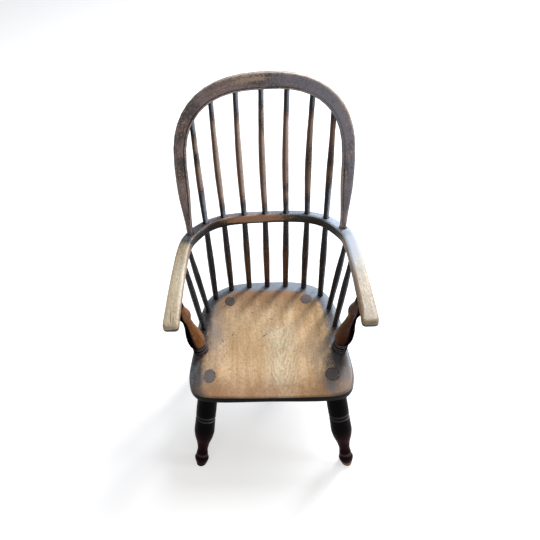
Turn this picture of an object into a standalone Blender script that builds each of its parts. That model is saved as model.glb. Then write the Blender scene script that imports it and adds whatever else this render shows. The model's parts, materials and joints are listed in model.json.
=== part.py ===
"""Child's hoop-back armchair of turned and bent wood.

A dished plank seat stands on four raked turned legs, whose tenons come through to its top. Turned posts and
short sticks carry a bent arm bow, and the long sticks go on through it to a bent hoop that leans back.
Metres, +Z up, the front towards -Y, origin on the floor under the middle of the chair's box.
"""

import math
from collections import namedtuple

import bmesh
import bpy
from mathutils import Vector

# Place of the seat's own frame, in which every position below is given
SEAT_FRAME_Y = -0.0129

# Fits: the gap between touching pieces, and how far a cutter runs past what it cuts
FIT_GAP = 0.0003
CUT_PAST = 0.030

# Seat: the right half of its outline, from the front round to the back
SEAT_TOP = 0.2015
SEAT_THICKNESS = 0.030
SEAT_EDGE_HEIGHT = 0.018
SEAT_EDGE_ROUND = 0.006
SEAT_CHAMFER_INSET = 0.020
SEAT_FRONT = -0.167
SEAT_FRONT_FLAT = 0.118
SEAT_CORNER = (0.1570, -0.1535)
SEAT_WIDEST = (0.170, -0.113)
SEAT_WAIST = (0.1640, -0.035)
SEAT_REAR_SIDE = (0.153, 0.070)
SEAT_REAR_CORNER = (0.129, 0.132)
SEAT_REAR_SHOULDER = (0.078, 0.164)
SEAT_BACK = 0.170

# Dish: the hollow of the seat, inside a level deck for the sticks, running out past the front edge
DISH_DEPTH = 0.008
DISH_MIDDLE = -0.020
DISH_SIDE_DECK = 0.038
DISH_BACK_DECK = 0.032
DISH_FRONT_PAST = 0.021
DISH_RAMP = 0.36
DISH_POWER = 3.0

# Legs: where each axis meets the seat's top and the floor, on the right side
FRONT_LEG_SEAT = (0.1263, -0.1120)
FRONT_LEG_FOOT = (0.1578, -0.1920)
BACK_LEG_SEAT = (0.0864, 0.1080)
BACK_LEG_FOOT = (0.1345, 0.1700)
FRONT_TENON_DIAMETER = 0.0280
BACK_TENON_DIAMETER = 0.0245

# Leg turning, by distance along the axis from the floor
LEG_TOE_DIAMETER = 0.0196
LEG_TOE_BELOW = 0.0060
LEG_FOOT_DIAMETER = 0.0305
LEG_FOOT_AT = 0.0150
LEG_SHOULDER_DIAMETER = 0.0254
LEG_SHOULDER_AT = 0.0238
LEG_NECK_DIAMETER = 0.0224
LEG_NECK_AT = 0.0370
LEG_VASE_DIAMETER = 0.0436
LEG_VASE_AT = 0.0870
LEG_RINGS_AT = 0.1165
LEG_RING_DIAMETER = 0.0424
LEG_RING_STEP = 0.0040
LEG_RING_HALF_WIDTH = 0.0019
LEG_RING_CUT = 0.0013
LEG_SWELL_DIAMETER = 0.0428
LEG_SWELL_AT = 0.1390
LEG_TOP_DIAMETER = 0.0390

# Arm posts: place in the seat, along a row inside its edge, and under the arm, inside its centre line
POST_ROW = 0.2900
POST_INSET = 0.0172
POST_ARM_Y = -0.0690
POST_ARM_INSET = 0.0048
POST_SEAT_TENON = 0.0160
POST_SEAT_DEPTH = 0.0200
POST_ARM_TENON = 0.0130
POST_ARM_DEPTH = 0.0120

# Post turning, by distance along the axis from the seat's top
POST_BASE_DIAMETER = 0.0320
POST_BASE_RING = 0.0042
POST_BASE_CUT = 0.0015
POST_BELLY_DIAMETER = 0.0370
POST_BELLY_AT = 0.0440
POST_NECK_DIAMETER = 0.0195
POST_NECK_AT = 0.1150
POST_BALL_DIAMETER = 0.0280
POST_BALL_AT = 0.1390
POST_COLLAR_DIAMETER = 0.0165
POST_COLLAR_AT = 0.1650

# Sticks: distances round the row of seat sockets from the middle of the back, and places at the other end
STICK_INSET = 0.0154
LONG_STICK_ROW = (0.0, 0.0420, 0.0845, 0.1305)
LONG_STICK_TOPS = (0.0, 0.0503, 0.1000, 0.1402)
SHORT_STICK_ROW = (0.1755, 0.2300)
SHORT_STICK_ARM_YS = (0.0990, 0.0520)
STICK_SEAT_DEPTH = 0.0180
STICK_SEAT_DIAMETER = 0.0112
STICK_LOWER_SWELL = 0.0134
STICK_ARM_DIAMETER = 0.0114
STICK_UPPER_SWELL = 0.0122
STICK_UPPER_SWELL_AT = 0.34
STICK_TOP_DIAMETER = 0.0090
STICK_TOP_STRAIGHT = 0.0480
SHORT_STICK_TOP_DIAMETER = 0.0104
SHORT_STICK_ARM_DEPTH = 0.0120

# Arm bow: its top is level, and its plan follows the long sticks and the hoop's feet before these points
ARM_TOP = 0.3995
ARM_ELBOW = (0.1722, 0.078)
ARM_MIDDLE = (0.1784, 0.004)
ARM_WRIST = (0.1828, -0.100)
ARM_END = (0.1838, -0.1520)
ARM_BACK_WIDTH = 0.0185
ARM_ELBOW_WIDTH = 0.0268
ARM_WRIST_WIDTH = 0.0302
ARM_HAND_WIDTH = 0.0318
ARM_BACK_THICKNESS = 0.0235
ARM_HAND_THICKNESS = 0.0190
ARM_END_ROUND = 0.0100
ARM_END_CORNER = 0.0055
ARM_END_FACE = 0.0090
ARM_SECTION_POWER = 5.0

# Hoop: heights run up its own plane, which leans back from the arm's top
HOOP_LEAN = math.radians(18.4)
HOOP_FOOT = (0.1605, 0.1197)
HOOP_FOOT_DEPTH = 0.0140
HOOP_HALF_WIDTH = 0.1690
HOOP_SPRING = 0.150
HOOP_RISE = 0.158
HOOP_POWER = 2.5
HOOP_FOOT_POWER = 1.3
HOOP_FOOT_WIDTH = 0.0140
HOOP_SIDE_WIDTH = 0.0262
HOOP_TOP_WIDTH = 0.0342
HOOP_TAPER = 0.108
HOOP_THICKNESS = 0.0170
HOOP_SECTION_POWER = 5.0

# Facets
LEG_STEPS = 16
STICK_STEPS = 10
BORE_STEPS = 16
PROFILE_STEPS = 4
SHORT_RUN = 0.0052
OUTLINE_STEPS = 4
EDGE_STEPS = 3
SEAT_RINGS = 10
SEAT_RING_EASE = 1.3
ARM_STEPS = 4
ARM_END_STEPS = 4
HOOP_FOOT_STEPS = 8
HOOP_ARCH_STEPS = 22
SECTION_POINTS = 12
ROUND_POWER = 2.0
SHARP_ANGLE = math.radians(40)
SCREW_MERGE = 0.00001

# Colours of the finishes, as linear red, green and blue
ELM = (0.50, 0.33, 0.17)
STAINED_BROWN = (0.055, 0.038, 0.030)
BARE_ASH = (0.52, 0.44, 0.30)
EBONISED = (0.010, 0.008, 0.008)
WARM_BROWN = (0.16, 0.070, 0.028)

SIDES = (("left", -1), ("right", 1))
UP = Vector((0.0, 0.0, 1.0))
Shop = namedtuple("Shop", "parts tools seat_cuts arm_cuts hoop_cuts")


def clear_scene():
    """Removes the objects that a new file starts with."""
    for obj in list(bpy.data.objects):
        bpy.data.objects.remove(obj, do_unlink=True)


def collection(name):
    made = bpy.data.collections.new(name)
    bpy.context.scene.collection.children.link(made)
    return made


def material(name, colour, roughness):
    made = bpy.data.materials.new(name)
    made.use_nodes = True
    shader = made.node_tree.nodes["Principled BSDF"]
    shader.inputs["Base Color"].default_value = (*colour, 1.0)
    shader.inputs["Roughness"].default_value = roughness
    shader.inputs["Metallic"].default_value = 0.0
    return made


def smooth(share):
    """Eases 0 to 1, level at both ends."""
    share = min(max(share, 0.0), 1.0)
    return share * share * (3 - 2 * share)


def eased(keys, place):
    """The value at a place, eased between (place, value) pairs in rising order of place."""
    if place <= keys[0][0]:
        return keys[0][1]
    for (start, first), (end, last) in zip(keys, keys[1:]):
        if place <= end:
            return first + (last - first) * smooth((place - start) / (end - start))
    return keys[-1][1]


def through(points, steps, closed=False):
    """A smooth path through points: Catmull-Rom spans of a few steps each."""
    count = len(points)
    path = []
    for i in range(count if closed else count - 1):
        if closed:
            a, b, c, d = (points[(i + k) % count] for k in (-1, 0, 1, 2))
        else:
            b, c = points[i], points[i + 1]
            a = points[i - 1] if i else 2 * b - c
            d = points[i + 2] if i + 2 < count else 2 * c - b
        for step in range(steps):
            t = step / steps
            path.append(0.5 * (2 * b + (c - a) * t + (2 * a - 5 * b + 4 * c - d) * t * t
                               + (3 * b - a - 3 * c + d) * t ** 3))
    if not closed:
        path.append(points[-1].copy())
    return path


def at_level(start, end, level):
    """The point at a level on the line from start to end."""
    return start + (end - start) * ((level - start.z) / (end.z - start.z))


def mirrored(point, side):
    """A point of the right side, put on the side given: 1 is right and -1 is left."""
    return Vector((side * point.x, *point[1:]))


# Making and cutting solids
def new_object(name, mesh, into, finish=None):
    obj = bpy.data.objects.new(name, mesh)
    into.objects.link(obj)
    if finish:
        mesh.materials.append(finish)
    return obj


def as_cutter(obj):
    obj.hide_render = True
    obj.display_type = "WIRE"
    return obj


def stand_on(obj, start, end):
    """Puts an object that is modelled along +Z on the line from start to end."""
    obj.location = start
    obj.rotation_mode = "QUATERNION"
    obj.rotation_quaternion = (end - start).to_track_quat("Z", "Y")
    return obj


def boolean(obj, operation, other):
    """Cuts with, or joins, an object or every object of a collection."""
    modifier = obj.modifiers.new(f"{operation.lower()}_{other.name}", "BOOLEAN")
    modifier.operation = operation
    modifier.solver = "EXACT"
    if isinstance(other, bpy.types.Collection):
        modifier.operand_type = "COLLECTION"
        modifier.collection = other
    else:
        modifier.object = other


def turned(name, keys, into, finish, start, end, steps):
    """A turned piece on the line from start to end: (distance, radius) keys, eased between, as a profile."""
    rows = []
    for (low, first), (high, last) in zip(keys, keys[1:]):
        count = 1 if first == last or high - low < SHORT_RUN else PROFILE_STEPS
        rows += [(low + (high - low) * k / count, first + (last - first) * smooth(k / count))
                 for k in range(count)]
    rows.append(keys[-1])
    profile = [(radius, at) for at, radius in reversed(rows)]
    profile = [(0.0, rows[-1][0])] + profile + [(0.0, rows[0][0])]
    mesh = bpy.data.meshes.new(name)
    mesh.from_pydata([(radius, 0.0, at) for radius, at in profile],
                     [(k, k + 1) for k in range(len(profile) - 1)], [])
    obj = stand_on(new_object(name, mesh, into, finish), start, end)
    screw = obj.modifiers.new("turning", "SCREW")
    screw.axis = "Z"
    screw.angle = math.tau
    screw.steps = screw.render_steps = steps
    screw.use_merge_vertices = True
    screw.merge_threshold = SCREW_MERGE
    return obj


def rod(name, radius, start, end, into):
    """A round cutter, or a tenon to join to a piece, from start to end."""
    length = (end - start).length
    mesh = bpy.data.meshes.new(name)
    shape = bmesh.new()
    bmesh.ops.create_cone(shape, cap_ends=True, segments=BORE_STEPS, radius1=radius, radius2=radius,
                          depth=length)
    bmesh.ops.translate(shape, verts=shape.verts, vec=UP * length / 2)
    shape.to_mesh(mesh)
    shape.free()
    return as_cutter(stand_on(new_object(name, mesh, into), start, end))


def bore(name, diameter, start, end, into):
    """A round cutter whose flats, not its corners, clear a rod of this diameter by the fit's gap."""
    return rod(name, (diameter / 2 + FIT_GAP) / math.cos(math.pi / BORE_STEPS), start, end, into)


def slab(name, low, high, into):
    """A cutter that takes away everything between two levels."""
    mesh = bpy.data.meshes.new(name)
    shape = bmesh.new()
    bmesh.ops.create_cube(shape, size=1.0)
    bmesh.ops.scale(shape, verts=shape.verts, vec=(1.0, 1.0, high - low))
    bmesh.ops.translate(shape, verts=shape.verts, vec=UP * (high + low) / 2)
    shape.to_mesh(mesh)
    shape.free()
    return as_cutter(new_object(name, mesh, into))


def loft(name, rings, into, finish=None):
    """A closed skin over rings of equally many points."""
    mesh = bpy.data.meshes.new(name)
    shape = bmesh.new()
    loops = [[shape.verts.new(point) for point in ring] for ring in rings]
    count = len(rings[0])
    for low, high in zip(loops, loops[1:]):
        for k in range(count):
            shape.faces.new((low[k], low[(k + 1) % count], high[(k + 1) % count], high[k]))
    shape.faces.new(list(reversed(loops[0])))
    shape.faces.new(loops[-1])
    bmesh.ops.recalc_face_normals(shape, faces=shape.faces)
    shape.to_mesh(mesh)
    shape.free()
    mesh.shade_smooth()
    mesh.set_sharp_from_angle(angle=SHARP_ANGLE)
    return new_object(name, mesh, into, finish)


def section(middle, across, upright, width, height, power):
    """A rounded-square ring about a point: power 2 is round, and a higher one is squarer."""
    ring = []
    for k in range(SECTION_POINTS):
        angle = math.tau * (k + 0.5) / SECTION_POINTS
        c, s = math.cos(angle), math.sin(angle)
        ring.append(middle + across * math.copysign(abs(c) ** (2 / power), c) * width / 2
                    + upright * math.copysign(abs(s) ** (2 / power), s) * height / 2)
    return ring


# Seat
def seat_outline():
    """The seat's edge in plan, from the middle of the front round by the right side."""
    half = [Vector((0.0, SEAT_FRONT)), Vector((SEAT_FRONT_FLAT, SEAT_FRONT))]
    half += [Vector(p) for p in (SEAT_CORNER, SEAT_WIDEST, SEAT_WAIST, SEAT_REAR_SIDE, SEAT_REAR_CORNER,
                                 SEAT_REAR_SHOULDER)]
    half.append(Vector((0.0, SEAT_BACK)))
    other = [mirrored(p, -1) for p in reversed(half[1:-1])]
    return through(half + other, OUTLINE_STEPS, closed=True)


def inset(outline, distance):
    """The outline moved inwards, square to itself."""
    moved = []
    for before, point, after in zip(outline[-1:] + outline[:-1], outline, outline[1:] + outline[:1]):
        along = (after - before).normalized()
        moved.append(point + Vector((-along.y, along.x)) * distance)
    return moved


def round_seat(distance, inset_by):
    """The point of the seat's top this far round a row inside its edge, from the back's middle."""
    row = inset(seat_outline(), inset_by)
    row = list(reversed(row[:len(row) // 2 + 1]))
    for a, b in zip(row, row[1:]):
        run = (b - a).length
        if distance <= run:
            break
        distance -= run
    return Vector((*(a + (b - a) * distance / run), SEAT_TOP))


def seat_top(x, y):
    """Height of the seat's dished top."""
    if y > DISH_MIDDLE:
        reach = SEAT_BACK - DISH_BACK_DECK - DISH_MIDDLE
    else:
        reach = DISH_MIDDLE - SEAT_FRONT + DISH_FRONT_PAST
    sideways = abs(x) / (SEAT_WIDEST[0] - DISH_SIDE_DECK)
    out = (sideways ** DISH_POWER + (abs(y - DISH_MIDDLE) / reach) ** DISH_POWER) ** (1 / DISH_POWER)
    return SEAT_TOP - DISH_DEPTH * smooth((1 - out) / DISH_RAMP)


def top_rings():
    """The top's rings, closer together near the edge, in to near the middle of the dish."""
    middle = Vector((0.0, DISH_MIDDLE))
    rings = []
    for k in range(SEAT_RINGS):
        share = 1 - (k / SEAT_RINGS) ** SEAT_RING_EASE
        ring = [middle + (point - middle) * share for point in inset(seat_outline(), SEAT_EDGE_ROUND)]
        rings.append([Vector((*p, seat_top(*p))) for p in ring])
    return rings


def make_seat(shop):
    outline = seat_outline()
    rings = [[Vector((*p, SEAT_TOP - SEAT_THICKNESS)) for p in inset(outline, SEAT_CHAMFER_INSET)],
             [Vector((*p, SEAT_TOP - SEAT_EDGE_HEIGHT)) for p in outline]]
    for k in range(EDGE_STEPS):
        turn = math.pi / 2 * k / EDGE_STEPS
        ring = inset(outline, SEAT_EDGE_ROUND * (1 - math.cos(turn)))
        drop = SEAT_EDGE_ROUND * (1 - math.sin(turn))
        rings.append([Vector((*p, seat_top(*p) - drop)) for p in ring])
    seat = loft("seat", rings + top_rings(), shop.parts, material("elm_plank", ELM, 0.5))
    boolean(seat, "DIFFERENCE", shop.seat_cuts)


def make_above_seat(shop):
    """A cutter whose underside is the seat's top, which trims the leg tenons flush."""
    rings = list(reversed(top_rings()))
    rings.append([Vector((p.x, p.y, SEAT_TOP + 2 * CUT_PAST)) for p in rings[-1]])
    return as_cutter(loft("above_seat", rings, shop.tools))


# Legs
def leg_keys(length):
    """Leg radii from below the floor: toe, foot, neck, vase, two ringed cuts and the plain upper leg."""
    ring = LEG_RING_DIAMETER / 2
    cut = ring - LEG_RING_CUT
    low = LEG_RINGS_AT - LEG_RING_STEP
    high = LEG_RINGS_AT + LEG_RING_STEP
    half = LEG_RING_HALF_WIDTH
    return [(-LEG_TOE_BELOW, LEG_TOE_DIAMETER / 2), (LEG_FOOT_AT, LEG_FOOT_DIAMETER / 2),
            (LEG_SHOULDER_AT, LEG_SHOULDER_DIAMETER / 2), (LEG_NECK_AT, LEG_NECK_DIAMETER / 2),
            (LEG_VASE_AT, LEG_VASE_DIAMETER / 2),
            (low - half, ring), (low, cut), (low + half, ring),
            (high - half, ring), (high, cut), (high + half, ring),
            (LEG_SWELL_AT, LEG_SWELL_DIAMETER / 2), (length, LEG_TOP_DIAMETER / 2)]


def make_leg(shop, name, foot, top, tenon, finish, trims):
    """A leg from the floor to the seat's top, with its tenon, and the tenon's hole in the seat."""
    axis = (top - foot).normalized()
    past = top + axis * CUT_PAST
    shoulder = top - axis * (SEAT_THICKNESS / axis.z + LEG_TOP_DIAMETER / 2)
    leg = turned(name, leg_keys((top - foot).length), shop.parts, finish, foot, top, LEG_STEPS)
    boolean(leg, "DIFFERENCE", trims["below_floor"])
    boolean(leg, "DIFFERENCE", trims["above_underside"])
    boolean(leg, "UNION", rod(f"{name}_tenon", tenon / 2, shoulder, past, shop.tools))
    boolean(leg, "DIFFERENCE", trims["above_seat"])
    rod(f"{name}_bore", tenon / 2 + FIT_GAP, shoulder, past, shop.seat_cuts)


def make_legs(shop):
    finish = material("ebonised_beech", EBONISED, 0.35)
    underside = SEAT_TOP - SEAT_THICKNESS - FIT_GAP
    trims = {"below_floor": slab("below_floor", -CUT_PAST, 0.0, shop.tools),
             "above_underside": slab("above_underside", underside, SEAT_TOP + 2 * CUT_PAST, shop.tools),
             "above_seat": make_above_seat(shop)}
    places = (("front", FRONT_LEG_SEAT, FRONT_LEG_FOOT, FRONT_TENON_DIAMETER),
              ("back", BACK_LEG_SEAT, BACK_LEG_FOOT, BACK_TENON_DIAMETER))
    for row, seat_at, foot_at, tenon in places:
        for label, side in SIDES:
            foot = mirrored(Vector((*foot_at, 0.0)), side)
            top = mirrored(Vector((*seat_at, SEAT_TOP)), side)
            make_leg(shop, f"leg_{row}_{label}", foot, top, tenon, finish, trims)


# Hoop
def on_hoop(x, up):
    """A point of the hoop's plane: half-width x, and up the plane from the arm's top."""
    return Vector((x, HOOP_FOOT[1] + up * math.sin(HOOP_LEAN), ARM_TOP + up * math.cos(HOOP_LEAN)))


def hoop_side(up):
    """The hoop's half-width below its springing."""
    fall = max(1 - up / HOOP_SPRING, 0.0) ** HOOP_FOOT_POWER
    return HOOP_HALF_WIDTH - (HOOP_HALF_WIDTH - HOOP_FOOT[0]) * fall


def hoop_arch(x):
    """How far up the hoop's centre line is at a half-width, above the springing."""
    return HOOP_SPRING + HOOP_RISE * (1 - (abs(x) / HOOP_HALF_WIDTH) ** HOOP_POWER) ** (1 / HOOP_POWER)


def hoop_foot(side):
    """Where a foot of the hoop meets the arm's top, and its direction up out of the arm."""
    step = HOOP_SPRING / HOOP_FOOT_STEPS
    foot = on_hoop(HOOP_FOOT[0], 0.0)
    axis = (on_hoop(hoop_side(step), step) - foot).normalized()
    return mirrored(foot, side), mirrored(axis, side)


def hoop_stations():
    """(half-width, up, share of the way round the arch) from the right foot to the top."""
    rows = []
    for k in range(HOOP_FOOT_STEPS):
        up = HOOP_SPRING * k / HOOP_FOOT_STEPS
        rows.append((hoop_side(up), up, 0.0))
    half = HOOP_ARCH_STEPS // 2
    for k in range(half + 1):
        x = HOOP_HALF_WIDTH * max(math.cos(math.pi / 2 * k / half), 0.0) ** (2 / HOOP_POWER)
        rows.append((x, hoop_arch(x), k / half))
    return rows


def make_hoop(shop):
    back = Vector((0.0, math.cos(HOOP_LEAN), -math.sin(HOOP_LEAN)))
    right = hoop_stations()
    rows = right + [(-x, up, share) for x, up, share in reversed(right[:-1])]
    points = [on_hoop(x, up) for x, up, _ in rows]
    rings = []
    for k, (x, up, share) in enumerate(rows):
        along = (points[min(k + 1, len(points) - 1)] - points[max(k - 1, 0)]).normalized()
        grown = smooth(up / HOOP_TAPER)
        width = HOOP_FOOT_WIDTH + (HOOP_SIDE_WIDTH - HOOP_FOOT_WIDTH) * grown
        width += (HOOP_TOP_WIDTH - HOOP_SIDE_WIDTH) * share
        height = HOOP_FOOT_WIDTH + (HOOP_THICKNESS - HOOP_FOOT_WIDTH) * grown
        power = ROUND_POWER + (HOOP_SECTION_POWER - ROUND_POWER) * grown
        rings.append(section(points[k], back.cross(along), back, width, height, power))
    for side, place in ((1, 0), (-1, len(rings) + 1)):
        foot, axis = hoop_foot(side)
        across = back.cross(axis) * side
        tip = foot - axis * HOOP_FOOT_DEPTH
        rings.insert(place, section(tip, across, back, HOOP_FOOT_WIDTH, HOOP_FOOT_WIDTH, ROUND_POWER))
    hoop = loft("back_hoop", rings, shop.parts, material("stained_ash", STAINED_BROWN, 0.4))
    boolean(hoop, "DIFFERENCE", shop.hoop_cuts)


def make_hoop_sockets(shop):
    for label, side in SIDES:
        foot, axis = hoop_foot(side)
        bore(f"hoop_{label}_bore", HOOP_FOOT_WIDTH, foot - axis * (HOOP_FOOT_DEPTH + FIT_GAP),
             foot + axis * CUT_PAST, shop.arm_cuts)


# Arm bow
def long_stick_line(index, side):
    """A long stick's ends: its axis at the seat's top, and its tip on the hoop's centre line."""
    start = mirrored(round_seat(LONG_STICK_ROW[index], STICK_INSET), side)
    top_x = LONG_STICK_TOPS[index]
    return start, on_hoop(side * top_x, hoop_arch(top_x))


def arm_crossing(start, end):
    """Where a long stick passes the mid-height of the arm bow."""
    return at_level(start, end, ARM_TOP - ARM_BACK_THICKNESS / 2)


def arm_path():
    """The right half of the arm bow's centre line in plan, from the middle of the back to the hand's end."""
    crossings = [arm_crossing(*long_stick_line(k, 1)) for k in range(len(LONG_STICK_ROW))]
    points = [p.xy for p in crossings]
    foot, axis = hoop_foot(1)
    points.append((foot - axis * (ARM_BACK_THICKNESS / 2)).xy)
    points += [Vector(p) for p in (ARM_ELBOW, ARM_MIDDLE, ARM_WRIST, ARM_END)]
    return through([mirrored(points[1], -1)] + points, ARM_STEPS)[ARM_STEPS:]


def arm_width(y):
    """The arm's width in plan, by place: narrow behind, wide at the hand."""
    back = arm_crossing(*long_stick_line(0, 1)).y
    return eased([(ARM_END[1] + ARM_END_ROUND, ARM_HAND_WIDTH), (ARM_WRIST[1], ARM_WRIST_WIDTH),
                  (ARM_ELBOW[1], ARM_ELBOW_WIDTH), (HOOP_FOOT[1], ARM_ELBOW_WIDTH),
                  (back, ARM_BACK_WIDTH)], y)


def arm_thickness(y):
    return eased([(ARM_WRIST[1], ARM_HAND_THICKNESS), (HOOP_FOOT[1], ARM_BACK_THICKNESS)], y)


def under_arm(path, y, side, inset_by=0.0):
    """The point of the arm's underside at y, below its centre line or this far inside it."""
    for a, b in zip(path, path[1:]):
        if b.y <= y < a.y:
            x = a.x + (b.x - a.x) * (y - a.y) / (b.y - a.y) - inset_by
    return Vector((side * x, y, ARM_TOP - arm_thickness(y)))


def make_arm_bow(shop, path):
    """The bow as a loft along its path, whose hands end in a blunt round."""
    last = path[-1]
    run = (last - path[-2]).normalized()
    right = [(p, 1.0) for p in path if (last - p).dot(run) > ARM_END_ROUND]
    for k in range(ARM_END_STEPS + 1):
        turn = math.pi / 2 * k / ARM_END_STEPS
        right.append((last - run * ARM_END_ROUND * (1 - math.sin(turn)), math.cos(turn)))
    rows = [(mirrored(p, -1), full) for p, full in reversed(right[1:])] + right
    rings = []
    for k, (point, full) in enumerate(rows):
        along = (rows[min(k + 1, len(rows) - 1)][0] - rows[max(k - 1, 0)][0]).normalized()
        thickness = arm_thickness(point.y)
        middle = Vector((*point, ARM_TOP - thickness / 2))
        width = arm_width(point.y) - 2 * ARM_END_CORNER * (1 - full)
        height = ARM_END_FACE + (thickness - ARM_END_FACE) * full
        rings.append(section(middle, Vector((-along.y, along.x, 0.0)), UP, width, height, ARM_SECTION_POWER))
    bow = loft("arm_bow", rings, shop.parts, material("worn_ash", BARE_ASH, 0.5))
    boolean(bow, "DIFFERENCE", shop.arm_cuts)


# Sticks
def make_stick(shop, name, start, end, keys, finish):
    """A stick from its seat socket to end, and the socket."""
    axis = (end - start).normalized()
    foot = start - axis * STICK_SEAT_DEPTH
    seat_keys = [(-STICK_SEAT_DEPTH, STICK_SEAT_DIAMETER / 2), (0.0, STICK_SEAT_DIAMETER / 2)]
    turned(name, seat_keys + keys, shop.parts, finish, start, end, STICK_STEPS)
    bore(f"{name}_seat_bore", STICK_SEAT_DIAMETER, foot - axis * FIT_GAP, start + axis * CUT_PAST,
         shop.seat_cuts)


def make_long_sticks(shop, finish):
    """The sticks from the seat through the arm bow to the hoop, numbered from the left."""
    outermost = len(LONG_STICK_ROW) - 1
    for number in range(2 * outermost + 1):
        place = number - outermost
        name = f"back_stick_{number + 1}"
        start, end = long_stick_line(abs(place), -1 if place < 0 else 1)
        axis = (end - start).normalized()
        arm = arm_crossing(start, end)
        reach = (arm - start).length
        length = (end - start).length
        half = ARM_BACK_THICKNESS / 2 / axis.z + STICK_ARM_DIAMETER / 2
        swell = reach + (length - reach) * STICK_UPPER_SWELL_AT
        keys = [(reach / 2, STICK_LOWER_SWELL / 2),
                (reach - half, STICK_ARM_DIAMETER / 2), (reach + half, STICK_ARM_DIAMETER / 2),
                (swell, STICK_UPPER_SWELL / 2),
                (length - STICK_TOP_STRAIGHT, STICK_TOP_DIAMETER / 2), (length, STICK_TOP_DIAMETER / 2)]
        make_stick(shop, name, start, end, keys, finish)
        bore(f"{name}_arm_bore", STICK_ARM_DIAMETER, arm - axis * half, arm + axis * half, shop.arm_cuts)
        bore(f"{name}_hoop_bore", STICK_TOP_DIAMETER, end - axis * STICK_TOP_STRAIGHT, end + axis * FIT_GAP,
             shop.hoop_cuts)


def make_short_sticks(shop, path, finish):
    """The sticks from the seat to the arm bow alone, two on each side."""
    for label, side in SIDES:
        for place, distance, arm_y in zip(("rear", "front"), SHORT_STICK_ROW, SHORT_STICK_ARM_YS):
            name = f"side_stick_{label}_{place}"
            start = mirrored(round_seat(distance, STICK_INSET), side)
            end = under_arm(path, arm_y, side) + UP * SHORT_STICK_ARM_DEPTH
            axis = (end - start).normalized()
            length = (end - start).length
            straight = 2 * SHORT_STICK_ARM_DEPTH / axis.z
            keys = [(length / 2, STICK_LOWER_SWELL / 2),
                    (length - straight, SHORT_STICK_TOP_DIAMETER / 2), (length, SHORT_STICK_TOP_DIAMETER / 2)]
            make_stick(shop, name, start, end, keys, finish)
            bore(f"{name}_arm_bore", SHORT_STICK_TOP_DIAMETER, end - axis * straight, end + axis * FIT_GAP,
                 shop.arm_cuts)


# Arm posts
def post_keys(length, spare):
    """Post radii: base rings, belly, neck, ball and collar, with spare to trim at both ends."""
    disc = POST_BASE_DIAMETER / 2
    groove = disc - POST_BASE_CUT
    second = POST_BASE_RING + 2 * POST_BASE_CUT
    return [(-spare, disc), (POST_BASE_RING, disc), (POST_BASE_RING + POST_BASE_CUT, groove), (second, disc),
            (second + POST_BASE_RING, disc), (second + POST_BASE_RING + POST_BASE_CUT, groove),
            (POST_BELLY_AT, POST_BELLY_DIAMETER / 2), (POST_NECK_AT, POST_NECK_DIAMETER / 2),
            (POST_BALL_AT, POST_BALL_DIAMETER / 2), (POST_COLLAR_AT, POST_COLLAR_DIAMETER / 2),
            (length + spare, POST_COLLAR_DIAMETER / 2)]


def make_posts(shop, path):
    finish = material("turned_beech", WARM_BROWN, 0.35)
    underside = ARM_TOP - arm_thickness(POST_ARM_Y) - FIT_GAP
    floor = slab("post_floor", SEAT_TOP - CUT_PAST, SEAT_TOP + FIT_GAP, shop.tools)
    roof = slab("post_roof", underside, ARM_TOP + CUT_PAST, shop.tools)
    for label, side in SIDES:
        name = f"arm_post_{label}"
        start = mirrored(round_seat(POST_ROW, POST_INSET), side)
        top = under_arm(path, POST_ARM_Y, side, POST_ARM_INSET)
        axis = (top - start).normalized()
        foot = start - axis * POST_SEAT_DEPTH
        tip = top + axis * POST_ARM_DEPTH
        spare = POST_BASE_DIAMETER * math.hypot(axis.x, axis.y)
        post = turned(name, post_keys((top - start).length, spare), shop.parts, finish, start, top, LEG_STEPS)
        boolean(post, "DIFFERENCE", floor)
        boolean(post, "DIFFERENCE", roof)
        inner, outer = start + axis * spare, top - axis * spare
        boolean(post, "UNION", rod(f"{name}_foot", POST_SEAT_TENON / 2, foot, inner, shop.tools))
        boolean(post, "UNION", rod(f"{name}_tip", POST_ARM_TENON / 2, outer, tip, shop.tools))
        bore(f"{name}_seat_bore", POST_SEAT_TENON, foot - axis * FIT_GAP, start + axis * CUT_PAST,
             shop.seat_cuts)
        bore(f"{name}_arm_bore", POST_ARM_TENON, top - axis * CUT_PAST, tip + axis * FIT_GAP, shop.arm_cuts)


def place_frame(shop):
    """Hangs every piece and cutter on one empty, at the place of the seat's frame."""
    frame = bpy.data.objects.new("child_chair_frame", None)
    frame.location.y = SEAT_FRAME_Y
    for obj in [obj for group in shop for obj in group.objects]:
        obj.parent = frame
    shop.parts.objects.link(frame)


def main():
    clear_scene()
    names = ("child_chair", "child_chair_cutters", "seat_cuts", "arm_cuts", "hoop_cuts")
    shop = Shop(*(collection(name) for name in names))
    path = arm_path()
    sticks = material("stick_ash", STAINED_BROWN, 0.35)
    make_legs(shop)
    make_posts(shop, path)
    make_long_sticks(shop, sticks)
    make_short_sticks(shop, path, sticks)
    make_hoop_sockets(shop)
    make_seat(shop)
    make_arm_bow(shop, path)
    make_hoop(shop)
    place_frame(shop)


main()
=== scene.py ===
"""A child's hoop-back armchair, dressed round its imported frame.

Sizes and places are measured off the frame: turned pieces from their axis and rings, the seat from its rim
and its dished top, the bent bow and hoop from a fine copy of their solids. Lengths are in metres unless a name
says mm, and shares run from 0 to 1.
"""

from __future__ import annotations

import json
import logging
import math
from dataclasses import dataclass
from enum import Enum
from typing import Any

import bmesh
import bpy
import numpy as np
from mathutils import Matrix, Vector
from mathutils.bvhtree import BVHTree

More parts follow.
